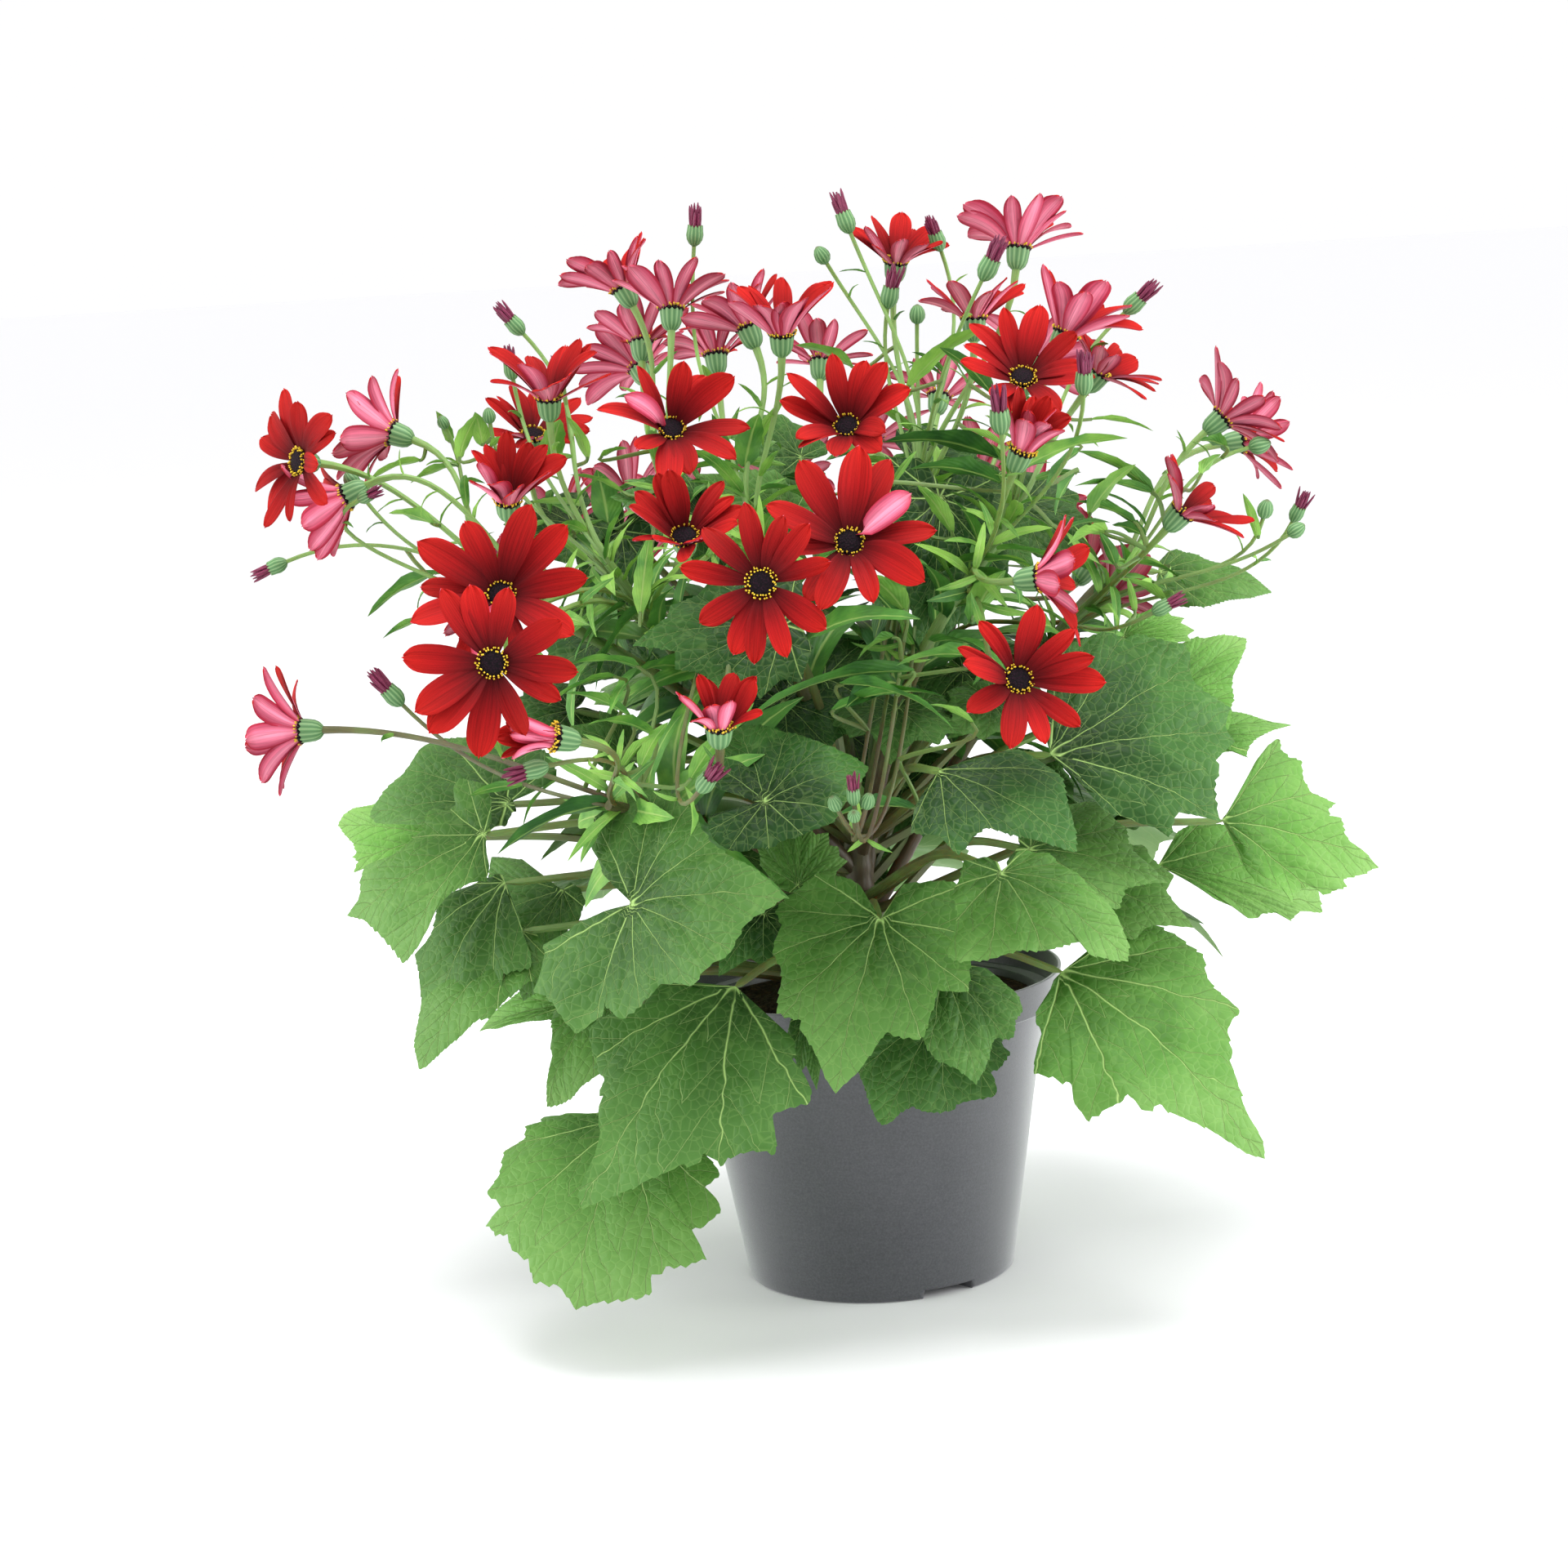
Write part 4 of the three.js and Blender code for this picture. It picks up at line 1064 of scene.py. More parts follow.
LEAVES += [
    leaf(1262, 1040, -90, 15, 50, (1428, 1085), (1335, 978), (1265, 1000), (1240, 1080), (1310, 1130), 0.4),
    leaf(640, 1140, -40, -30, 30, (515, 1310), (660, 1215), (668, 1150), (610, 1100), (520, 1170), 0.5),
    leaf(545, 1025, 60, -20, 30, (414, 1010), (470, 1085), (540, 1080), (555, 965), (475, 960), 0.9),
    leaf(1155, 1185, -112, 15, 35, (1195, 1328), (1252, 1240), (1225, 1185), (1100, 1160), (1095, 1260), 0.2),
    leaf(700, 1230, 40, -40, 30, (585, 1262), (650, 1255), (705, 1250), (690, 1205), (630, 1200), 0.8),
    leaf(1440, 905, 50, 30, 40, (1583, 886), (1500, 845), (1430, 870), (1440, 940), (1525, 925), 0.8),
    leaf(1410, 870, 20, 20, 30, (1527, 778), (1455, 752), (1370, 790), (1450, 920), (1512, 860), 0.85),
    leaf(960, 765, -115, -5, 35, (775, 790), (880, 845), (980, 830), (975, 700), (880, 720), 0.0),
    leaf(689, 1090, -20, -20, 30, (612, 1190), (690, 1160), (720, 1115), (660, 1045), (595, 1065), 0.3),
    leaf(990, 1240, -95, 0, 35, (1000, 1335), (1020, 1300), (1010, 1240), (970, 1240), (965, 1300), 0.25),
    leaf(977, 1084, -90, 0, 40, (985, 1008), (940, 1015), (930, 1060), (1022, 1078), (1027, 1040), 0.5),
    leaf(1375, 780, -10, 20, 25, (1463, 772), (1430, 750), (1385, 755), (1390, 795), (1440, 795), 0.95),
]
SINGLE_LEAF_COUNT = len(LEAVES)
# Leaves inside the crown, most of them dark: their low tones are painted shade. Each row: the
# joint and the tip as picture points with depths, how broad, tone.
INNER_LEAVES = [
    ((930, 800, -10), (800, 860, -40), 0.9, 0.05),
    ((1010, 830, -10), (1110, 900, -40), 0.9, 0.1),
    ((870, 640, 20), (745, 610, 0), 0.8, 0.1),
    ((1120, 560, 40), (1224, 588, 25), 0.8, 0.0),
    ((1180, 820, 0), (1290, 870, -20), 0.9, 0.15),
    ((700, 640, 10), (600, 690, 0), 0.8, 0.1),
    ((1250, 620, 40), (1340, 700, 25), 0.8, 0.1),
    ((760, 770, 0), (650, 850, -20), 0.8, 0.05),
    ((980, 560, 60), (880, 530, 50), 0.8, 0.2),
    ((1040, 900, 40), (960, 960, 20), 1.0, 0.1),
    ((1110, 960, 50), (1180, 1040, 30), 1.0, 0.15),
    ((880, 1040, -20), (830, 1120, -60), 1.0, 0.2),
    ((1010, 1050, 30), (1050, 1130, -10), 1.0, 0.1),
    ((1240, 960, 30), (1330, 1010, 20), 1.0, 0.2),
    ((935, 1120, -60), (880, 1195, -80), 1.1, 0.05),
    ((960, 860, -60), (895, 955, -90), 1.1, 0.0),
    ((770, 930, -80), (700, 888, -100), 0.9, 0.15),
    ((1100, 868, -70), (1090, 935, -100), 1.3, 0.15),
    ((762, 650, 10), (725, 778, 0), 0.6, 0.0),
    ((1190, 605, 10), (1268, 705, -10), 0.7, 0.1),
    ((960, 650, 20), (850, 582, 10), 0.8, 0.4),
    ((700, 870, 0), (610, 905, -20), 0.9, 0.1),
    ((1110, 640, 0), (1150, 745, -20), 0.8, 0.05),
    ((1215, 860, -60), (1160, 905, -80), 0.9, 0.3),
    ((1322, 1080, -55), (1462, 1137, -75), 0.85, 0.5),
]
for joint_point, tip_point, broad, tone in INNER_LEAVES:
    joint, tip = seen(*joint_point), seen(*tip_point)
    LEAVES.append(plain_leaf(joint, tip, facing(0, 40), broad, tone))
# Behind the plant, a low row and a high row.
for k in range(5):
    turn = 128 + 26 * k
    joint, tip = around(turn, 92, 205), around(turn + 8, 168, 172)
    LEAVES.append(plain_leaf(joint, tip, facing(turn, 50), 1.1, 0.15 + 0.12 * k))
for k in range(4):
    turn = 120 + 38 * k
    joint, tip = around(turn, 78, 262), around(turn - 10, 148, 250)
    LEAVES.append(plain_leaf(joint, tip, facing(turn, 55), 1.0, 0.5))
print("leaves:", len(LEAVES))

# %% Outlines traced in the picture
# Each row of numbers holds picture points, u and v in turn. An outline starts at the tip, goes
# round anticlockwise through the cleft at the stalk and comes back to the tip. Hidden
# stretches are guessed.
TRACED = {}
TRACED[1] = [
    1024, 1337, 1051, 1312, 1073, 1280, 1085, 1263, 1097, 1270, 1127, 1274, 1133, 1263, 1143, 1230,
    1148, 1212, 1163, 1213, 1185, 1212, 1186, 1197, 1190, 1150, 1185, 1110, 1170, 1082, 1143, 1082,
    1117, 1080, 1105, 1083, 1098, 1100, 1095, 1118, 1080, 1127, 1066, 1120, 1063, 1107, 1055, 1087,
    1042, 1077, 1020, 1072, 1002, 1072, 985, 1083, 967, 1095, 955, 1105, 951, 1117, 958, 1133, 950, 1152,
    947, 1167, 958, 1187, 956, 1203, 952, 1240, 967, 1247, 982, 1250, 980, 1262, 992, 1277, 1002, 1298,
    1012, 1323,
]
TRACED[2] = [
    957, 1097, 945, 1082, 923, 1063, 903, 1055, 882, 1040, 870, 1032, 860, 1017, 853, 1000, 837, 977,
    813, 970, 792, 967, 780, 970, 755, 980, 747, 993, 730, 1003, 727, 1020, 722, 1037, 730, 1050, 737, 1070,
    755, 1083, 768, 1093, 773, 1105, 760, 1116, 747, 1121, 737, 1115, 720, 1122, 700, 1130, 690, 1140,
    663, 1155, 667, 1170, 662, 1190, 653, 1215, 667, 1218, 683, 1233, 690, 1247, 702, 1265, 720, 1250,
    738, 1240, 739, 1228, 760, 1248, 780, 1233, 797, 1217, 803, 1203, 827, 1202, 847, 1208, 857, 1197,
    873, 1180, 893, 1168, 903, 1150, 917, 1127, 940, 1110,
]
TRACED[3] = [
    717, 1480, 740, 1470, 773, 1457, 793, 1447, 823, 1435, 833, 1427, 857, 1423, 860, 1410, 883, 1423,
    893, 1413, 923, 1411, 952, 1414, 953, 1403, 950, 1383, 947, 1367, 967, 1355, 990, 1345, 992, 1332,
    983, 1313, 968, 1300, 973, 1287, 972, 1272, 957, 1265, 942, 1258, 938, 1243, 927, 1240, 920, 1232,
    908, 1236, 900, 1222, 898, 1211, 875, 1212, 840, 1207, 815, 1202, 802, 1212, 790, 1230, 763, 1243,
    737, 1247, 722, 1260, 723, 1277, 730, 1297, 725, 1303, 740, 1320, 735, 1333, 740, 1343, 735, 1362,
    738, 1390, 733, 1413, 720, 1440, 710, 1467,
]
TRACED[4] = [
    705, 1600, 740, 1590, 773, 1588, 787, 1587, 798, 1580, 798, 1562, 810, 1563, 817, 1553, 830, 1553,
    852, 1548, 865, 1542, 857, 1523, 847, 1508, 863, 1503, 877, 1492, 883, 1480, 877, 1467, 858, 1457,
    870, 1447, 880, 1434, 870, 1420, 860, 1410, 850, 1380, 830, 1350, 800, 1348, 780, 1364, 765, 1356,
    737, 1360, 723, 1360, 707, 1362, 690, 1361, 687, 1365, 667, 1367, 665, 1377, 648, 1382, 645, 1397,
    620, 1412, 618, 1433, 613, 1445, 597, 1462, 615, 1473, 600, 1488, 595, 1497, 607, 1510, 623, 1513,
    630, 1535, 650, 1545, 655, 1570, 685, 1575,
]
TRACED[5] = [
    1549, 1418, 1547, 1397, 1537, 1378, 1530, 1368, 1522, 1350, 1515, 1320, 1510, 1307, 1505, 1293,
    1510, 1288, 1503, 1272, 1501, 1265, 1507, 1252, 1516, 1243, 1500, 1227, 1488, 1217, 1480, 1207,
    1475, 1187, 1472, 1168, 1463, 1165, 1440, 1143, 1405, 1132, 1370, 1142, 1345, 1155, 1333, 1170,
    1325, 1183, 1310, 1188, 1298, 1193, 1290, 1200, 1283, 1220, 1277, 1230, 1267, 1242, 1268, 1253,
    1276, 1263, 1270, 1283, 1267, 1297, 1265, 1315, 1287, 1320, 1302, 1325, 1312, 1325, 1315, 1350,
    1332, 1369, 1357, 1357, 1370, 1353, 1378, 1344, 1387, 1353, 1395, 1365, 1408, 1362, 1418, 1355,
    1427, 1365, 1440, 1368, 1457, 1375, 1470, 1378, 1500, 1395, 1527, 1412,
]
TRACED[6] = [
    1380, 1178, 1381, 1160, 1372, 1140, 1367, 1125, 1355, 1100, 1335, 1083, 1318, 1070, 1300, 1060,
    1280, 1045, 1258, 1040, 1245, 1045, 1238, 1058, 1227, 1066, 1222, 1058, 1210, 1050, 1195, 1050,
    1180, 1055, 1176, 1075, 1165, 1095, 1172, 1120, 1168, 1145, 1160, 1165, 1165, 1174, 1178, 1178,
    1205, 1173, 1235, 1168, 1265, 1163, 1300, 1158, 1325, 1155, 1333, 1172, 1350, 1175, 1365, 1178,
]
TRACED[7] = [
    1318, 1040, 1318, 1020, 1313, 997, 1305, 980, 1300, 957, 1287, 943, 1270, 930, 1253, 922, 1247, 918,
    1233, 923, 1213, 925, 1197, 927, 1177, 933, 1163, 938, 1151, 943, 1145, 952, 1142, 962, 1127, 977,
    1120, 990, 1117, 1005, 1116, 1017, 1133, 1022, 1152, 1023, 1162, 1033, 1173, 1043, 1183, 1037,
    1190, 1027, 1207, 1017, 1233, 1023, 1260, 1028, 1287, 1033, 1307, 1038,
]
TRACED[8] = [
    1512, 908, 1505, 900, 1500, 890, 1505, 868, 1473, 850, 1463, 840, 1457, 827, 1458, 800, 1450, 787,
    1427, 785, 1407, 782, 1390, 778, 1375, 785, 1360, 777, 1340, 777, 1310, 790, 1285, 830, 1278, 870,
    1280, 905, 1286, 924, 1310, 930, 1320, 947, 1327, 967, 1342, 973, 1348, 990, 1352, 997, 1373, 1000,
    1393, 1007, 1413, 1013, 1430, 1026, 1437, 1003, 1443, 995, 1460, 997, 1495, 1005, 1490, 977, 1487, 957,
    1492, 948, 1487, 933, 1497, 922,
]
TRACED[9] = [
    1685, 1063, 1667, 1043, 1652, 1033, 1645, 1023, 1643, 1000, 1628, 998, 1627, 990, 1635, 983, 1617, 975,
    1603, 970, 1602, 965, 1597, 960, 1593, 943, 1592, 933, 1577, 930, 1568, 918, 1568, 905, 1565, 903,
    1553, 912, 1543, 925, 1537, 933, 1535, 950, 1525, 967, 1517, 978, 1505, 992, 1496, 1003, 1503, 1013,
    1513, 1027, 1523, 1040, 1520, 1053, 1527, 1067, 1537, 1080, 1550, 1090, 1570, 1092, 1580, 1107,
    1585, 1093, 1600, 1083, 1613, 1088, 1620, 1096, 1647, 1087, 1643, 1077, 1667, 1072,
]
TRACED[10] = [
    1618, 1118, 1615, 1100, 1612, 1085, 1610, 1060, 1590, 1040, 1560, 1020, 1520, 1012, 1490, 1010,
    1455, 1012, 1440, 1020, 1436, 1035, 1430, 1050, 1416, 1060, 1435, 1062, 1463, 1067, 1478, 1082,
    1488, 1100, 1503, 1105, 1520, 1112, 1530, 1123, 1543, 1122, 1547, 1117, 1563, 1117, 1580, 1127,
    1590, 1117, 1600, 1117,
]
TRACED[11] = [
    1064, 941, 1045, 925, 1012, 913, 970, 899, 935, 890, 905, 893, 880, 905, 868, 930, 865, 955, 880, 968,
    915, 978, 933, 983, 900, 990, 868, 1000, 868, 1017, 877, 1030, 893, 1040, 907, 1043, 923, 1040,
    940, 1038, 952, 1030, 975, 1025, 1000, 1015, 1020, 1005, 1035, 985, 1050, 965,
]
TRACED[12] = [
    493, 1179, 503, 1170, 515, 1157, 527, 1137, 535, 1117, 547, 1100, 557, 1090, 577, 1083, 593, 1077,
    598, 1060, 594, 1043, 596, 1025, 603, 1005, 600, 980, 593, 960, 583, 958, 563, 953, 556, 965, 557, 985,
    547, 993, 533, 990, 523, 1000, 521, 1014, 507, 1023, 500, 1033, 480, 1048, 467, 1053, 448, 1061,
    442, 1080, 443, 1090, 440, 1103, 427, 1122, 450, 1128, 465, 1142, 480, 1160,
]
TRACED[13] = [
    523, 1260, 530, 1250, 543, 1233, 558, 1212, 577, 1208, 583, 1213, 597, 1207, 615, 1212, 617, 1193,
    643, 1187, 652, 1183, 652, 1170, 643, 1147, 638, 1123, 632, 1107, 622, 1093, 618, 1081, 613, 1070,
    595, 1075, 577, 1083, 557, 1092, 547, 1102, 535, 1120, 527, 1140, 515, 1158, 505, 1168, 513, 1187,
    515, 1217, 518, 1237,
]
TRACED[14] = [
    452, 998, 460, 1007, 483, 1009, 520, 1013, 560, 1016, 600, 1018, 622, 1006, 632, 990, 628, 980,
    650, 970, 682, 955, 680, 930, 655, 912, 610, 905, 560, 903, 540, 905, 523, 917, 510, 930, 493, 948,
    477, 963, 457, 987,
]
TRACED[15] = [
    1081, 1378, 1093, 1373, 1103, 1362, 1117, 1355, 1130, 1362, 1143, 1363, 1168, 1358, 1172, 1350,
    1197, 1347, 1217, 1343, 1221, 1336, 1217, 1320, 1213, 1313, 1225, 1307, 1237, 1288, 1227, 1280,
    1225, 1260, 1205, 1238, 1175, 1222, 1150, 1232, 1130, 1212, 1105, 1215, 1075, 1235, 1060, 1265,
    1048, 1290, 1052, 1313, 1058, 1327, 1065, 1350, 1073, 1370,
]
TRACED[16] = [
    669, 1355, 687, 1350, 700, 1343, 713, 1330, 733, 1316, 770, 1290, 785, 1250, 780, 1220, 742, 1212,
    710, 1198, 690, 1215, 677, 1240, 677, 1260, 675, 1280, 678, 1293, 670, 1327,
]
TRACED[17] = [
    1557, 726, 1535, 708, 1515, 695, 1490, 688, 1470, 680, 1447, 674, 1430, 676, 1420, 686, 1418, 702,
    1412, 728, 1435, 740, 1472, 746, 1503, 735, 1530, 732,
]
TRACED[24] = [
    515, 1310, 523, 1307, 540, 1290, 567, 1267, 580, 1253, 590, 1247, 600, 1247, 610, 1233, 622, 1220,
    640, 1212, 660, 1195, 668, 1170, 660, 1145, 642, 1139, 625, 1110, 600, 1105, 570, 1120, 540, 1150,
    520, 1185, 513, 1220, 508, 1280, 510, 1290,
]
TRACED[25] = [
    414, 1010, 423, 1023, 433, 1033, 438, 1045, 434, 1050, 441, 1056, 435, 1070, 455, 1062, 490, 1060,
    530, 1055, 550, 1040, 545, 1027, 560, 1005, 540, 985, 500, 975, 470, 980, 452, 986, 433, 990, 420, 1000,
]
TRACED[26] = [
    1195, 1327, 1205, 1310, 1212, 1292, 1215, 1275, 1220, 1270, 1232, 1274, 1240, 1272, 1242, 1250,
    1252, 1238, 1247, 1223, 1240, 1213, 1223, 1197, 1207, 1187, 1183, 1183, 1165, 1178, 1154, 1184,
    1140, 1185, 1125, 1200, 1118, 1225, 1120, 1250, 1135, 1283, 1147, 1298, 1170, 1308, 1187, 1322,
]
TRACED[27] = [
    585, 1262, 610, 1259, 650, 1250, 690, 1250, 715, 1245, 702, 1231, 690, 1212, 650, 1210, 630, 1222,
    605, 1240,
]
TRACED[28] = [
    1583, 887, 1560, 883, 1540, 877, 1527, 873, 1510, 870, 1495, 860, 1470, 855, 1440, 870, 1438, 900,
    1440, 930, 1470, 935, 1500, 920, 1513, 917, 1528, 925, 1530, 913, 1535, 907, 1547, 900, 1567, 893,
]
TRACED[29] = [
    1527, 781, 1513, 779, 1497, 779, 1473, 783, 1463, 782, 1440, 790, 1400, 800, 1375, 830, 1405, 872,
    1420, 910, 1460, 920, 1495, 905, 1505, 890, 1505, 868, 1511, 853, 1508, 840, 1510, 827, 1517, 810,
    1525, 793,
]
TRACED[31] = [
    640, 1225, 665, 1215, 690, 1190, 700, 1160, 695, 1135, 710, 1123, 717, 1105, 710, 1088, 698, 1080,
    690, 1089, 670, 1083, 650, 1067, 640, 1052, 603, 1050, 598, 1075, 615, 1100, 620, 1140, 625, 1180,
]
for number, points in TRACED.items():
    LEAVES[number - 1]["traced"] = np.reshape(points, (-1, 2))
print("outlines traced:", len(TRACED))

# %% Leaves on their stalks
LEAF_STALK = (2.2, 1.5)
STALK_SPACE = 10
# A stalk leaves the stem this far below its blade, and no higher than the last fork.
FORK_DROP, FORK_LIMIT = 35, 190
RIM_CLEARANCE = 14
# The bunches hold this many of the leaves that stand in no frame node.
BUNCH = 5


def leaf_stalk(plan):
    """A stalk from the main stem, or from a flower stem, over a high point to the blade. One
    whose blade hangs below the pot's rim first passes over the rim."""
    joint = plan["joint"]
    outward = unit(joint * [1, 1, 0])
    height = np.clip(joint[2] - FORK_DROP, SOIL_TOP + STALK_SPACE, FORK_LIMIT)
    start = outward * 3.5 + height * UP
    if plan["stem"]:
        start = through(STEM_PATHS[plan["stem"] - 1], 0.7)[0]
    low = joint[2] < POT_HEIGHT + RIM_CLEARANCE
    over = start + (joint - start) * (0.88 if low else 0.6)
    over[2] = max(over[2] + 12, POT_HEIGHT + RIM_CLEARANCE)
    shares = steps_for(np.linalg.norm(joint - start) * 1.1)
    path = through([start, over, joint], shares)
    radius = np.interp(shares, [0, 1], LEAF_STALK)
    radius[-1] = 0.5
    return stem(path, radius, 8, 0.1, 0.3 + 0.35 * shares, 2)


starts = [*range(SINGLE_LEAF_COUNT), *range(SINGLE_LEAF_COUNT, len(LEAVES), BUNCH), len(LEAVES)]
for first, end in zip(starts, starts[1:]):
    shapes = []
    for i in range(first, end):
        rng = np.random.default_rng([SEED, 2, i])
        shapes += [blade(LEAVES[i], rng), leaf_stalk(LEAVES[i])]
    replaced = [f"leaf_{first + 1:02d}"] if first < FRAME_LEAF_COUNT else []
    put(f"leaf_blade_{first + 1:02d}", shapes, leaf_looks, "leaf_blade", *replaced)
print("leaves made:", totals)

# %% [markdown]
# A petal, in truth a whole ray floret, is velvet red above: its skin is set with tiny cones
# that swallow light when looked at straight and catch it at the rim. Underneath it is smooth
# and pink with darker stripes. One material could tell the sides by the way they face, but
# the exported model would lose that, so two share one set of petals, one for each side.

# %% Petal skins
# In life the cones are about 0.03 mm wide. They are drawn ten times as coarse.
CONES = 3500.0


def velvet_red_upper_side(tree):
    plan, along, across, tone = plan_parts(tree)
    streaks = streaked(tree, plan, (0.6, 5.0, 30.0), 2.2, 4.0)
    # Painted shade: the reds darken towards the claw, where the petals crowd round the disc.
    reds = [(0.0, "#2c050a"), (0.22, "#5c080d"), (0.55, "#8c0e10"), (1.0, "#a81812")]
    body = add(tree, "ValToRGB", along, stops=reds)
    body = shaded(tree, body, streaks, 0.72, 1.2)
    body = shaded(tree, body, tone, 0.85, 1.2, 0.0, 1.0)
    folds = add(tree, "Math", across, 2.0, operation="PINGPONG")
    creases = add(tree, "MapRange", folds, 0.28, 0.4, -0.5, 0.0, interpolation_type="SMOOTHSTEP")
    cones = add(tree, "TexNoise", Vector=object_place(tree), Scale=CONES)
    relief = add(tree, "Math", streaks, cones, operation="ADD")
    relief = add(tree, "Math", relief, creases, operation="ADD")
    bump = add(tree, "Bump", Strength=0.3, Distance=0.25 * MM, Height=relief)
    return add(tree, "BsdfPrincipled", Base_Color=body, Roughness=0.7, Specular_IOR_Level=0.1, Normal=bump)


def striped_pink_under_side(tree):
    plan, along, across, tone = plan_parts(tree)
    streaks = streaked(tree, plan, (0.5, 3.0, 30.0), 2.4, 4.0)
    apart = add(tree, "Math", across, operation="ABSOLUTE")
    spread = add(tree, "Math", tone, 0.25, apart, operation="MULTIPLY_ADD")
    # Painted light: these pinks, the underside's own colour, are made lighter for the light that shines
    # through the thin petal, and the stripes brighten it up to 1.4 times as well.
    pinks = [(0.0, "#e58fa6"), (0.45, "#d6708a"), (0.85, "#b84862"), (1.0, "#a42a40")]
    body = add(tree, "ValToRGB", spread, stops=pinks)
    body = shaded(tree, body, streaks, 0.8, 1.4)
    base = add(tree, "MapRange", along, 0.0, 0.3, 0.45, 0.0)
    body = add(tree, "MixRGB", base, body, srgb("#8e2236"))
    reds = add(tree, "MapRange", along, 0.78, 1.0, 0.0, 0.5)
    body = add(tree, "MixRGB", reds, body, srgb("#9e1c26"))
    bump = add(tree, "Bump", Strength=0.2, Distance=0.25 * MM, Height=streaks)
    return add(tree, "BsdfPrincipled", Base_Color=body, Roughness=0.6, Specular_IOR_Level=0.12, Normal=bump)


# %% [markdown]
# The green cup under a flower is a ring of narrow bracts pressed together. Paler margins make
# stripes, and the tips are brown. The disc is a dome of dark florets, and round it stands a
# ring of anthers dusted with yellow pollen. Each bract could be a blade, but pressed together
# they show as stripes and shallow ribs, which a material and a waved outline give.

# %% Cup, disc and pollen skins
BRACTS = 13
FLORET = 1 / (0.8 * MM)
# Pollen is finer than 0.05 mm. It is drawn as dust of 0.4 mm, so that it shows.
DUST = 2500.0


def bract_cup_skin(tree):
    _, along, turn, _ = plan_parts(tree)
    bracts = add(tree, "Math", turn, BRACTS, operation="MULTIPLY")
    seam = add(tree, "Math", bracts, 0.5, operation="PINGPONG")
    greens = [(0.0, "#86a872"), (0.2, "#618c5a"), (0.5, "#487344")]
    body = add(tree, "ValToRGB", seam, stops=greens)
    tips = add(tree, "MapRange", along, 0.84, 1.0, 0.0, 0.6)
    body = add(tree, "MixRGB", tips, body, srgb("#5d5236"))
    bump = add(tree, "Bump", Strength=0.6, Distance=0.4 * MM, Height=seam)
    return add(
        tree, "BsdfPrincipled", Base_Color=body, Roughness=0.55, Specular_IOR_Level=0.35, Normal=bump
    )


def dark_disc_florets(tree):
    place = object_place(tree)
    knobs = add(tree, "TexVoronoi", Vector=place, Scale=FLORET)
    # Painted shade: each floret is darkest at its edge, in the gaps between the florets.
    plums = [(0.0, "#2a1020"), (0.35, "#170812"), (0.7, "#090408")]
    body = add(tree, "ValToRGB", knobs, stops=plums)
    bump = add(tree, "Bump", invert=True, Strength=0.8, Distance=0.4 * MM, Height=knobs)
    return add(tree, "BsdfPrincipled", Base_Color=body, Roughness=0.7, Specular_IOR_Level=0.12, Normal=bump)


def yellow_pollen(tree):
    _, along, *_ = plan_parts(tree)
    dust = add(tree, "TexNoise", Vector=object_place(tree), Scale=DUST)
    up = add(tree, "MapRange", dust, 0.3, 0.7, -0.12, 0.12)
    place = add(tree, "Math", along, up, operation="ADD")
    golds = [(0.0, "#160c14"), (0.4, "#2c1a10"), (0.52, "#b08a14"), (1.0, "#e6c52e")]
    body = add(tree, "ValToRGB", place, stops=golds)
    return add(tree, "BsdfPrincipled", Base_Color=body, Roughness=0.75)


def magenta_rolled_petal(tree):
    plan, *_ = plan_parts(tree)
    streaks = streaked(tree, plan, (1.0, 9.0, 40.0), 2.0, 3.0)
    purples = [(0.3, "#3f0f28"), (0.5, "#6b1b3c"), (0.7, "#9a3f64")]
    body = add(tree, "ValToRGB", streaks, stops=purples)
    return add(tree, "BsdfPrincipled", Base_Color=body, Roughness=0.5, Specular_IOR_Level=0.4)


head_recipes = [velvet_red_upper_side, striped_pink_under_side, bract_cup_skin]
head_recipes += [dark_disc_florets, yellow_pollen, magenta_rolled_petal]
head_looks = [material(recipe) for recipe in head_recipes]
PETAL_TOP, PETAL_UNDER, CUP_LOOK, DISC_LOOK, POLLEN_LOOK, BUD_LOOK = range(6)

# %% [markdown]
# A flower head is built upright about its own axis and then stood along the way it faces. One
# petal could be copied round the disc, but no two in life are alike. So the petals are made
# together: one grid, with a first index for the petal, so that lift, twist, length and curl
# can each vary from petal to petal.

# %% Petals
PETAL_ROWS, PETAL_COLUMNS = 13, 9
PETAL_ROOT = 4.6
# A petal is widest at this share of its length. Its half width there is a share of its length
# too, and the claw's is a share of that.
WIDEST, HALF_WIDTH, CLAW = 0.6, 0.174, 0.3
HALF_PETAL = 0.13
TURNED_OVER = 160
# For some flowers, the turns in the picture of petals that are twisted over, from the right
# and anticlockwise, in degrees.
CURLED = {11: [48], 13: [155], 19: [272]}


def standing(direction):
    """The turn that takes +Z to a direction: the shortest one, by the sum of the identity, a
    cross-product matrix and its square."""
    x, y, z = direction
    cross = np.array([[0, 0, x], [0, 0, y], [-x, -y, 0]])
    return np.eye(3) + cross + cross @ cross / (1 + z)


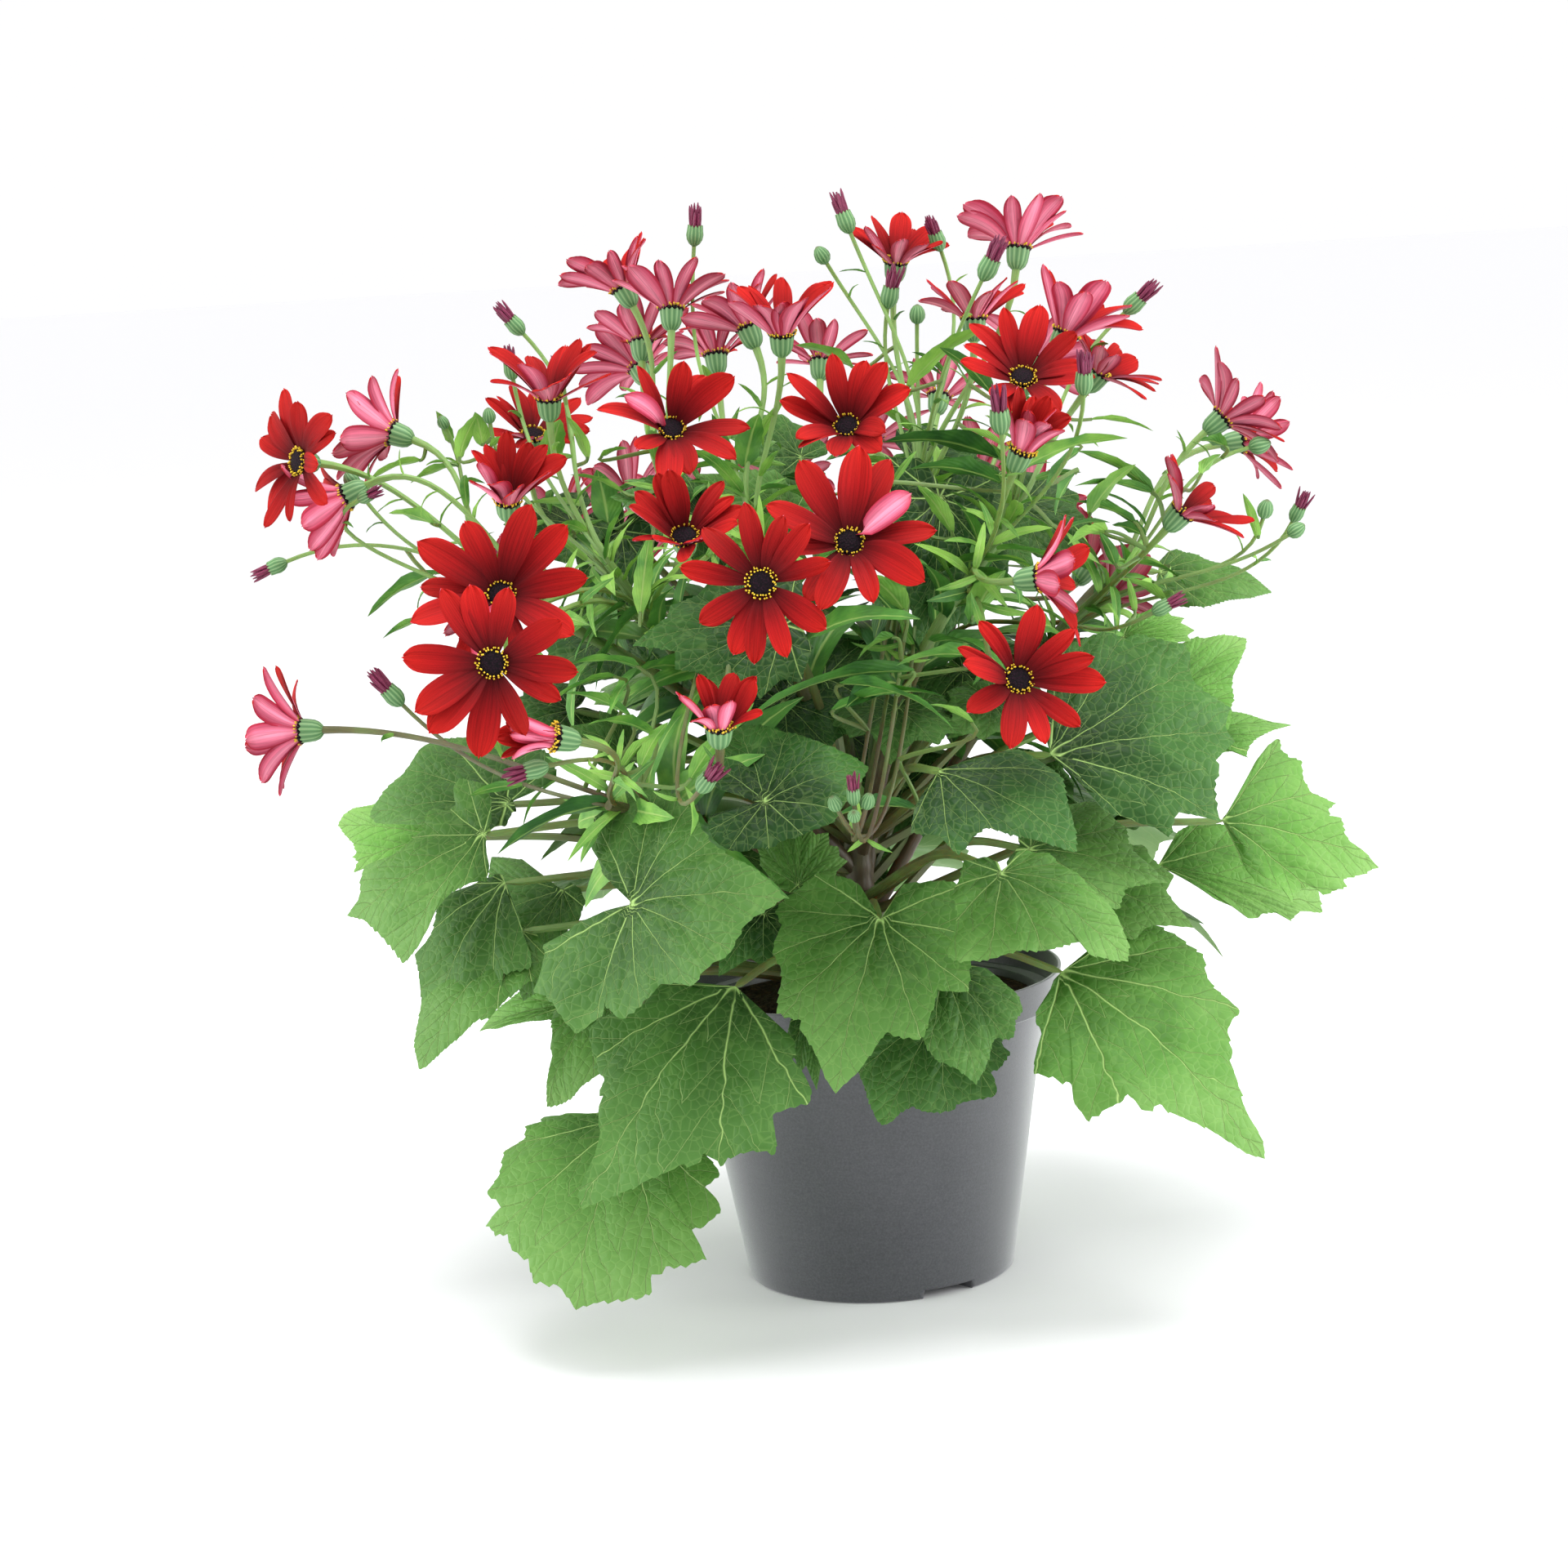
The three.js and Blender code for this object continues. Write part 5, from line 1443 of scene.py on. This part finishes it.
def petals(width, cup, curled, rng):
    """Petals round +Z. A petal's slope falls evenly from its claw to its tip, and its middle
    line is the sum of steps along that slope. Its half width swells by a sine to its widest
    share and rounds off. Across, it is dished and twisted, with two creases. The petals
    nearest to the curled turns are twisted over and show their pink side."""
    count = int(rng.integers(11, 14))
    each = lambda spread: rng.uniform(-1, 1, count)[:, None, None] * spread
    s = 1 - (1 - np.linspace(0, 1, PETAL_ROWS)[None, :, None]) ** 1.5
    t = np.sin(np.linspace(-1, 1, PETAL_COLUMNS) * np.pi / 2)[None, None, :]
    length = (width / 2 - PETAL_ROOT + 1) * (1 + each(0.12))
    turn = (np.arange(count)[:, None, None] + each(0.36)) / count * 2 * np.pi
    over = np.zeros((count, 1, 1))
    for wanted in curled:
        over[np.argmax(np.cos(turn[:, 0, 0] - wanted))] = 1
    slope = np.radians(cup + each(14) + 12 * over)
    curl = np.radians(16 + each(16))
    slopes = slope + curl * (0.45 - s) * 1.8
    step = np.diff(s, axis=1, prepend=0) * length
    run, climb = np.cumsum(np.cos(slopes) * step, 1), np.cumsum(np.sin(slopes) * step, 1)
    notch = (0.02 + each(0.02)) * np.exp(-(((np.abs(t) - 0.33) / 0.14) ** 2)) * s**6
    short = length * (notch + 0.05 * t**2 * s**3)
    run = run - short * np.cos(slopes)
    climb = climb - short * np.sin(slopes)
    swell = CLAW + (1 - CLAW) * np.sin(np.pi / 2 * np.clip(s / WIDEST, 0, 1)) ** 1.1
    taper = (1 - 0.93 * np.clip((s - WIDEST) / (1 - WIDEST), 0, 1) ** 3) ** 0.55
    half = length * (HALF_WIDTH + each(0.03)) * swell * taper
    over_turn = np.radians(TURNED_OVER) * over * np.clip(s * 4, 0, 1)
    twist = np.radians(10 + each(20)) * (0.4 + s) + over_turn
    out = turned(1, turn, 0)
    aside = np.cross(UP, out)
    normal = -np.sin(slopes)[..., None] * out + np.cos(slopes)[..., None] * UP
    across = np.cos(twist)[..., None] * aside + np.sin(twist)[..., None] * normal
    creases = 0.3 * np.cos(2 * np.pi * t / 0.68) * np.clip(s * 3, 0, 1)
    dish = half * (0.2 + each(0.16)) * t**2 + creases
    sway = each(2.2) * s**2
    spine = (PETAL_ROOT - 1 + run)[..., None] * out + (climb - 1.2)[..., None] * UP
    spine = spine + sway[..., None] * aside
    middle = spine + (half * t)[..., None] * across + dish[..., None] * normal
    plan = stacked(s, t, rng.uniform(size=count)[:, None, None])
    return shells(middle, HALF_PETAL, plan, [PETAL_TOP, PETAL_UNDER])


# %% Cup, disc and anthers
DISC_RADIUS, DISC_HEIGHT = 4.9, 1.7


def revolved(outline_points, columns, look, ribs=0, rib_depth=0.0, teeth=0.0):
    """An outline turned round +Z, its radius waved by ribs and its last ring by teeth."""
    reach, height = np.array(outline_points, float).T
    turn = turns_round(columns)
    wave = np.cos(ribs * turn)
    share = (np.arange(len(height)) / (len(height) - 1))[:, None]
    height = height[:, None] + teeth * wave * (share > 0.8)
    places = turned(reach[:, None] * (1 + rib_depth * wave), turn, height)
    return lathe(places, stacked(share, turn / (2 * np.pi), 0), look)


def cup_shape():
    """A striped bell of bracts, from the stalk at -10 mm to its toothed mouth."""
    bell = [(1.3, -10), (2.3, -9.5), (3.6, -8.2), (4.4, -6.2), (4.7, -4), (4.9, -2.2), (5.0, -1.2), (4.2, -1)]
    return revolved(bell, 2 * BRACTS, CUP_LOOK, BRACTS, 0.03, 0.45)


def disc_shape():
    """A low dome of florets."""
    angle = np.linspace(0, 1, 6) * np.pi / 2
    dome = [(DISC_RADIUS * math.cos(a) + 0.05, DISC_HEIGHT * math.sin(a)) for a in angle]
    return revolved([(DISC_RADIUS * 0.9, -2)] + dome, 20, DISC_LOOK)


# %% Rods, and heads stood in their places
ANTHERS = 25


def rods(feet, headings, lengths, radius, profile, look, sides=4):
    """Many small rods at once: a ring of places at each step of the profile, closed by a tip
    and a foot of almost no width."""
    headings = unit(headings)
    helper = unit(np.cross(headings, unit(np.array([0.31, 0.17, 0.93]))))
    other = np.cross(headings, helper)
    turn = turns_round(sides)
    share, width = np.array(profile).T
    centre = feet[:, None] + headings[:, None] * (share[:, None] * lengths[:, None, None])
    ring = circles(helper, other, turn)[:, None]
    places = centre[:, :, None] + ring * (radius * width)[None, :, None, None]
    count, rows = places.shape[:2]
    numbers = numbered(rows, sides)
    foot, tip = numbers[0], numbers[-1]
    caps = [fan(foot[0], foot[:0:-1])[:-1], fan(tip[0], tip[1:])[:-1]]
    faces = np.concatenate([cells(closed_round(numbers))[:, ::-1], *caps])
    which = np.arange(count)[:, None, None]
    joined = np.where(faces < 0, faces, faces + which * numbers.size)
    plan = stacked(share[None, :, None], turn / (2 * np.pi), which / count)
    return shape(places, joined.reshape(-1, 4), plan, look)


def anthers(rng):
    """Two rings of short rods round the disc that lean outwards, with pollen at their tips."""
    number = np.arange(2 * ANTHERS)
    turn = (number + rng.uniform(-0.4, 0.4, len(number))) / ANTHERS * 2 * np.pi
    outer = number < ANTHERS
    out = turned(1, turn, 0)
    feet = out * np.where(outer, 5.2, 4.6)[:, None] + UP * np.where(outer, -0.8, -0.2)[:, None]
    lean = out * np.where(outer, 0.45, 0.15)[:, None] + UP + rng.normal(0, 0.16, (len(turn), 3))
    lengths = np.where(outer, 2.1, 2.0) * rng.uniform(0.75, 1.2, len(turn))
    profile = [(0, 0.6), (0.6, 0.8), (0.85, 1.25), (1, 0.5)]
    return rods(feet, lean, lengths, 0.36, profile, POLLEN_LOOK)


def stood(parts, place, face):
    """Shapes made about their own axis, stood at a place along a direction."""
    turn = standing(face)
    return [(places @ turn.T + place, *rest) for places, *rest in parts]


def curled_turns(number, face):
    """The curled petals of a flower as turns about its own axis."""
    turn = np.radians(CURLED.get(number, []))
    ways = np.cos(turn)[:, None] * RIGHT + np.sin(turn)[:, None] * UPWARD
    own = ways @ standing(face)
    return np.arctan2(own[:, 1], own[:, 0])


for number, head in enumerate(FLOWERS, 1):
    rng = np.random.default_rng([SEED, 3, number])
    curled = curled_turns(number, head["face"])
    parts = [petals(head["width"], head["cup"], curled, rng), cup_shape(), disc_shape(), anthers(rng)]
    replaced = [f"flower_{number:02d}"] if number <= FRAME_COUNT else []
    shapes = stood(parts, head["place"], head["face"])
    put(f"flower_head_{number:02d}", shapes, head_looks[:BUD_LOOK], "flower_petal", *replaced)
print("flowers made:", totals)

# %% [markdown]
# A ripe bud is a small cup out of which the petals stand, each rolled into a thin tube, with
# ragged tips. A green bud is still closed to a point. The rolled petals could be rolled
# sheets, but they are under 2 mm thick, so a bundle of rods is enough. They stand a golden
# turn apart, which fills a round bundle evenly.

# %% Buds
BUD_RODS = 16
GOLDEN_TURN = 2.4


def ripe_bud(size, rng):
    """An urn of bracts with rolled petals that lean together in a bundle."""
    urn = [(1.0, -0.6), (2.4, 0.5), (3.5, 2.4), (3.9, 4.6), (3.6, 6.9), (3.4, 8.6), (2.4, 8.4)]
    cup = revolved([(r * size, z * size) for r, z in urn], 2 * BRACTS, CUP_LOOK, BRACTS, 0.04, 0.55)
    out = turned(1, np.arange(BUD_RODS) * GOLDEN_TURN, 0)
    spread = np.sqrt(np.arange(BUD_RODS) / BUD_RODS)[:, None]
    feet = (out * spread * 2.3 + UP * 6) * size
    lean = UP + out * spread * 0.12 + rng.normal(0, 0.06, (BUD_RODS, 3))
    lengths = rng.uniform(8.5, 13.5, BUD_RODS) * size
    profile = [(0, 0.9), (0.5, 1.05), (0.85, 0.8), (1, 0.3)]
    return [cup, rods(feet, lean, lengths, 0.72 * size, profile, BUD_LOOK, 6)]


def green_bud(size):
    """A closed bud: an urn that runs up to a blunt point."""
    urn = [(1.2, -0.6), (3.6, 1), (5.2, 3.8), (5.4, 6.4), (4.6, 9.4), (2.9, 12), (0.8, 13.4)]
    return [revolved([(r * size, z * size) for r, z in urn], 2 * BRACTS, CUP_LOOK, BRACTS, 0.05)]


for stem_number in range(1, len(STEMS) + 1):
    shapes = []
    for number, plan in enumerate(BUDS):
        if plan["stem"] != stem_number:
            continue
        rng = np.random.default_rng([SEED, 4, number])
        parts = ripe_bud(plan["size"], rng) if plan["ripe"] else green_bud(plan["size"])
        shapes += stood(parts, plan["place"], plan["face"])
    if shapes:
        put(f"buds_{stem_number:02d}", shapes, head_looks, "flower_petal")
print("buds made:", totals)

# %% [markdown]
# Up the flower stems the leaves turn narrow, wavy and clasping, down to bracts of a
# centimetre. All the narrow leaves of one stem are one piece. Each is a blade whose middle
# line leaves the stem at a slant and curls back, with a shallow channel along it. Most could
# stand anywhere, so they climb each stem and stalk by a rule. Those that show in the picture
# were read from it, and a thin stalk joins each to the nearest stem.

# %% Narrow leaf skin
# The green changes over about 11 mm.
NARROW_MOTTLE = 90.0


def narrow_leaf_skin(tree):
    _, along, across, tone = plan_parts(tree)
    apart = add(tree, "Math", across, operation="ABSOLUTE")
    rib = add(tree, "MapRange", apart, 0.03, 0.14, 0.75, 0.0, interpolation_type="SMOOTHSTEP")
    mottle = add(tree, "TexNoise", Vector=object_place(tree), Scale=NARROW_MOTTLE, Detail=4.0)
    drift = add(tree, "MapRange", mottle, 0.3, 0.7, -0.25, 0.25)
    fresh = add(tree, "Math", tone, drift, operation="ADD", use_clamp=True)
    greens = [(0.0, "#24551d"), (0.5, "#4c8630"), (1.0, "#86b84a")]
    body = add(tree, "ValToRGB", fresh, stops=greens)
    body = add(tree, "MixRGB", rib, body, srgb("#98b962"))
    lag = add(tree, "Math", apart, -0.5, along, operation="MULTIPLY_ADD")
    ladder = add(tree, "Math", lag, 7.0, operation="MULTIPLY")
    spaced = add(tree, "Math", ladder, 0.5, operation="PINGPONG")
    height = add(tree, "Math", spaced, rib, operation="SUBTRACT")
    bump = add(tree, "Bump", Strength=0.5, Distance=0.4 * MM, Height=height)
    return add(tree, "BsdfPrincipled", Base_Color=body, Roughness=0.5, Specular_IOR_Level=0.4, Normal=bump)


# %% Narrow leaves
NARROW_ROWS, NARROW_COLUMNS = 10, 7
HALF_NARROW = 0.16


def narrow_leaves(start, ahead, up, length, width, curl, tone, rng):
    """Blades from start along ahead that curl back by -up. Half width follows the sine of the
    share along, clasping at the foot. Edges rise in a channel and wave a little."""
    many = lambda values: np.asarray(values, float)[:, None, None]
    s = np.linspace(0, 1, NARROW_ROWS)[None, :, None]
    t = np.linspace(-1, 1, NARROW_COLUMNS)[None, None, :]
    ahead = unit(ahead)
    up = unit(up - (up * ahead).sum(1, keepdims=True) * ahead)
    across = np.cross(up, ahead)
    long, curls = many(length), many(curl)
    spine_run = long * np.sin(curls * s) / curls
    spine_drop = long * (np.cos(curls * s) - 1) / curls
    outline_half = (np.sin(np.pi * s**0.8) ** 0.75 + 0.22 * (1 - s) ** 2) * 0.97 + 0.03
    phase = rng.uniform(0, 6, len(length))[:, None, None]
    jag = 1 + 0.07 * np.sin(s * 29 + phase)
    half = many(width) / 2 * outline_half * jag
    wave = 0.16 * half * np.sin(s * 11 + t * 1.5 + phase) * np.abs(t)
    dish = half * 0.32 * np.abs(t) + wave
    middle = start[:, None, None] + spine_run[..., None] * ahead[:, None, None]
    middle = middle + (spine_drop + dish)[..., None] * up[:, None, None]
    middle = middle + (half * t)[..., None] * across[:, None, None]
    return shells(middle, HALF_NARROW, stacked(s, t, many(tone)), [0, 0])


def leaves_along(path, shares, lengths, slender, rng, tone):
    """Narrow leaves on a stem, each a golden turn from the last, which point up and out."""
    steps = (shares * (len(path) - 1)).astype(int)
    places = path[steps]
    along = unit(np.gradient(path, axis=0))[steps]
    spread = unit(np.cross(along, unit(rng.normal(size=3))))
    other = np.cross(along, spread)
    turn = np.arange(len(shares)) * GOLDEN_TURN + rng.uniform(0, 6)
    out = np.cos(turn)[:, None] * spread + np.sin(turn)[:, None] * other
    ahead = unit(along * 0.75 + out + UP * 0.25)
    curl = rng.uniform(0.5, 1.7, len(shares))
    long = lengths * rng.uniform(0.8, 1.2, len(shares))
    tones = np.clip(tone + rng.normal(0, 0.2, len(shares)), 0, 1)
    return narrow_leaves(places, ahead, along, long, long * slender, curl, tones, rng)


# %% Narrow leaves read from the picture
# For each stem, rows of the foot and the tip as picture points with depths, width in mm, tone.
SEEN_NARROW = {}
SEEN_NARROW[1] = [
    ((800, 900, -120), (722, 885, -150), 8, 0.6),
    ((845, 955, -150), (905, 880, -170), 7, 0.7),
    ((784, 940, -160), (814, 880, -165), 6, 0.8),
    ((762, 940, -160), (800, 894, -165), 5, 0.8),
    ((757, 940, -160), (720, 894, -160), 6, 0.8),
    ((754, 828, -110), (672, 862, -125), 6, 0.6),
    ((770, 876, -110), (694, 845, -120), 7, 0.5),
    ((782, 816, -110), (698, 812, -120), 7, 0.5),
    ((750, 958, -165), (780, 980, -170), 9, 0.6),
    ((755, 984, -120), (612, 1042, -130), 14, 0.05),
]
SEEN_NARROW[2] = [
    ((540, 700, -20), (452, 752, -20), 9, 0.5),
    ((540, 755, 0), (470, 780, 0), 6, 0.6),
    ((551, 542, -15), (538, 502, -15), 5, 0.85),
    ((562, 570, -30), (504, 590, -30), 6, 0.8),
    ((516, 564, -25), (452, 588, -30), 6, 0.85),
    ((530, 642, -60), (478, 626, -65), 9, 0.8),
]
SEEN_NARROW[3] = [
    ((672, 577, -20), (684, 510, -30), 10, 0.85),
    ((720, 562, -20), (700, 508, -20), 5, 0.9),
    ((714, 642, -10), (664, 608, -10), 5, 0.6),
    ((702, 650, -30), (654, 696, -35), 10, 0.7),
    ((704, 656, -30), (748, 706, -25), 8, 0.5),
    ((562, 562, -30), (576, 506, -25), 7, 0.85),
    ((591, 546, -20), (584, 504, -20), 7, 0.9),
    ((600, 548, -25), (620, 532, -25), 4, 0.9),
    ((766, 740, -80), (700, 802, -100), 8, 0.4),
    ((786, 744, -80), (720, 836, -100), 12, 0.25),
]
SEEN_NARROW[4] = [
    ((868, 482, 30), (862, 446, 30), 6, 0.8),
    ((784, 752, -120), (794, 650, -130), 7, 0.75),
    ((735, 560, 10), (767, 547, 10), 4, 0.9),
    ((764, 604, 0), (702, 577, 0), 4, 0.9),
    ((745, 642, 10), (734, 574, 10), 12, 0.45),
]
SEEN_NARROW[5] = [
    ((912, 572, -50), (926, 504, -55), 11, 0.5),
    ((838, 964, -175), (858, 1018, -185), 9, 0.8),
]
SEEN_NARROW[6] = [
    ((1118, 822, -110), (908, 884, -150), 13, 0.25),
    ((1030, 838, -130), (1165, 886, -165), 12, 0.3),
    ((1112, 474, -30), (1205, 394, -45), 9, 0.95),
    ((1105, 740, -80), (1068, 640, -110), 8, 0.6),
    ((1020, 870, -120), (1155, 850, -150), 9, 0.4),
    ((1215, 482, -40), (1156, 420, -45), 8, 0.3),
    ((1224, 562, -30), (1086, 536, -40), 14, 0.1),
    ((1228, 592, -70), (1118, 570, -80), 12, 0.25),
    ((1166, 652, -70), (1128, 590, -75), 7, 0.85),
    ((1108, 748, -90), (1062, 700, -100), 10, 0.7),
    ((1206, 806, -110), (1100, 812, -120), 11, 0.5),
    ((1094, 780, -100), (1050, 806, -110), 9, 0.6),
    ((1192, 886, -140), (1140, 860, -150), 4, 0.9),
    ((1118, 990, -110), (1000, 1012, -140), 13, 0.1),
    ((1044, 450, 60), (978, 418, 60), 8, 0.8),
    ((1010, 602, 20), (960, 580, 15), 9, 0.2),
]
SEEN_NARROW[7] = [
    ((1150, 700, -60), (1262, 690, -90), 8, 0.5),
    ((1250, 575, -95), (1376, 532, -105), 10, 0.75),
    ((1228, 546, -70), (1178, 523, -80), 4, 0.9),
    ((1323, 550, -60), (1276, 606, -65), 8, 0.3),
    ((1318, 578, -60), (1288, 628, -65), 7, 0.3),
    ((1308, 646, -60), (1358, 638, -60), 4, 0.4),
    ((1334, 514, -50), (1410, 526, -50), 4, 0.8),
    ((1190, 762, -80), (1228, 694, -95), 11, 0.6),
]
SEEN_NARROW[8] = [
    ((1412, 602, -40), (1322, 546, -50), 7, 0.6),
    ((1412, 604, -40), (1318, 592, -50), 6, 0.5),
    ((1390, 640, -40), (1318, 610, -45), 6, 0.5),
    ((1334, 630, -45), (1384, 564, -50), 9, 0.85),
    ((1470, 582, -20), (1491, 554, -20), 7, 0.8),
    ((1502, 547, 10), (1470, 537, 10), 9, 0.5),
    ((1402, 657, -20), (1364, 640, -20), 9, 0.3),
    ((1366, 692, -50), (1350, 650, -50), 5, 0.4),
    ((1428, 736, -60), (1374, 704, -60), 6, 0.8),
    ((1541, 660, 0), (1525, 602, 0), 4, 0.85),
    ((1390, 750, -60), (1382, 706, -60), 3, 0.9),
    ((1356, 650, -50), (1308, 666, -55), 12, 0.9),
]
# Their upper side faces up and a little away from the camera. With this curl, in radians, a tip
# drops by a third of its leaf's length, so the leaf sets out higher and is a little longer.
SEEN_UP = np.array([0, 0.5, 0.848])
SEEN_CURL, SEEN_LIFT, SEEN_STRETCH = 0.7, 0.33, 1.05
TWIG_PLACES = 8


def seen_narrow(stem_number, runs, rng):
    """The narrow leaves that were read from the picture, for one stem, each joined to the
    nearest place on the stem or its side stalks by a thin stalk."""
    if stem_number not in SEEN_NARROW:
        return []
    feet, tips, widths, tones = zip(*SEEN_NARROW[stem_number])
    start = np.array([seen(*foot) for foot in feet])
    run = np.array([seen(*tip) for tip in tips]) - start
    up = np.tile(SEEN_UP, (len(feet), 1))
    ahead = unit(run) + SEEN_LIFT * up
    long = np.linalg.norm(run, axis=1) * SEEN_STRETCH
    curl = np.full(len(feet), SEEN_CURL)
    stems = np.concatenate(runs)
    nearest = stems[np.linalg.norm(stems - start[:, None], axis=2).argmin(1)]
    shapes = [narrow_leaves(start, ahead, up, long, widths, curl, tones, rng)]
    share = np.linspace(0, 1, TWIG_PLACES)
    for near, foot, way in zip(nearest, start, unit(ahead)):
        twig = bend(near, unit(foot - near), foot + way, way, share)
        shapes.append(stem(twig, 1 - 0.3 * share, 6, 0.1, 0.6 + 0 * share, 1))
    return shapes


# %% All the narrow leaves
# Lengths in mm from the lowest to the highest leaf, and widths as a share of them.
STEM_LEAVES, STEM_LEAF_LENGTHS, STEM_LEAF_WIDTH = 15, (78, 28), 0.21
STALK_LEAVES, STALK_LEAF_LENGTHS, STALK_LEAF_WIDTH = {"flower": 6, "bud": 3}, (34, 12), 0.15
# The shares of a stem where its leaves start and end. Those of stem 1 start higher.
LOWEST, LOWEST_ON_1, HIGHEST = 0.36, 0.6, 0.98

narrow_looks = [material(narrow_leaf_skin), stem_skin]
for stem_number, path in enumerate(STEM_PATHS, 1):
    rng = np.random.default_rng([SEED, 5, stem_number])
    main = through(path, np.linspace(0, 1, 200))
    shares = np.linspace(LOWEST_ON_1 if stem_number == 1 else LOWEST, HIGHEST, STEM_LEAVES)
    lengths = np.linspace(*STEM_LEAF_LENGTHS, STEM_LEAVES)
    shapes = [leaves_along(main, shares, lengths, STEM_LEAF_WIDTH, rng, 0.1 + 0.7 * shares**2)]
    for run, _, kind in STALKS[stem_number]:
        count = STALK_LEAVES[kind]
        lengths = np.linspace(*STALK_LEAF_LENGTHS, count)
        shapes.append(leaves_along(run, np.linspace(0.08, 0.85, count), lengths, STALK_LEAF_WIDTH, rng, 0.75))
    shapes += seen_narrow(stem_number, [main] + [run for run, *_ in STALKS[stem_number]], rng)
    put(f"narrow_leaves_{stem_number:02d}", shapes, narrow_looks, "leaf_blade")
print("narrow leaves made:", totals)

# %% [markdown]
# The studio: a white floor that runs out of sight, a white room all round and large soft
# lights above, in front and at both sides. Small lamps would be simpler, but they cast hard
# shadows. The side lights stand low, which leaves the pale edges that a grey pot shows in
# such light.

# %% Floor and light
FLOOR_HALF = 30
PLANT_MIDDLE = np.array([0, 0, 0.25])


def white_floor(tree):
    place = object_place(tree)
    # Painted shade and light: the floor is greyest near the plant, which deepens its shadow, and whitens
    # outwards over a few metres, where the lamps reach less; noise makes the change uneven.
    far = add(tree, "VectorMath", place, out=1, operation="LENGTH")
    painted_shade_wobble = add(tree, "TexNoise", Vector=place, Scale=3.0)
    spread = add(tree, "Math", far, painted_shade_wobble, operation="ADD")
    painted_shade_fade = add(tree, "MapRange", spread, 0.8, 3.0)
    body = add(tree, "ValToRGB", painted_shade_fade, stops=[(0.0, "#eaebec"), (1.0, "#fdfdfe")])
    return add(tree, "BsdfPrincipled", Base_Color=body, Roughness=0.8)


floor_mesh = bpy.data.meshes.new("studio_floor")
corners = [(x * FLOOR_HALF, y * FLOOR_HALF, 0) for x, y in ((-1, -1), (1, -1), (1, 1), (-1, 1))]
floor_mesh.from_pydata(corners, [], [(0, 1, 2, 3)])
floor_mesh.materials.append(material(white_floor))
floor = bpy.data.objects.new("studio_floor", floor_mesh)
bpy.context.collection.objects.link(floor)

world = bpy.data.worlds.new("white_room")
world.use_nodes = True
room = world.node_tree.nodes["Background"].inputs
room["Color"].default_value = srgb("#fdfdfe")
room["Strength"].default_value = 1.02
bpy.context.scene.world = world


def soft_light(name, place, size, power):
    """A square light of that size in metres, aimed at the middle of the plant."""
    light = bpy.data.lights.new(name, "AREA")
    light.size = size
    light.energy = power
    lamp = bpy.data.objects.new(name, light)
    away = unit(np.array(place) - PLANT_MIDDLE)
    side = unit(np.cross([0.01, 0.02, 1], away))
    turn = np.stack([side, np.cross(away, side), away], 1)
    lamp.matrix_world = Matrix([[*row, spot] for row, spot in zip(turn, place)] + [[0, 0, 0, 1]])
    bpy.context.collection.objects.link(lamp)


soft_light("top_light", (0.1, -0.3, 2.0), 1.4, 40)
soft_light("left_light", (-2.0, -0.3, 0.55), 1.5, 30)
soft_light("right_light", (2.0, -0.3, 0.55), 1.5, 34)
soft_light("front_light", (0.4, -2.6, 1.4), 1.5, 6)
bpy.context.scene.view_settings.view_transform = "Standard"
print("lights:", len(bpy.data.lights))

# %% Sizes and the end
print("pieces and triangles:", totals)
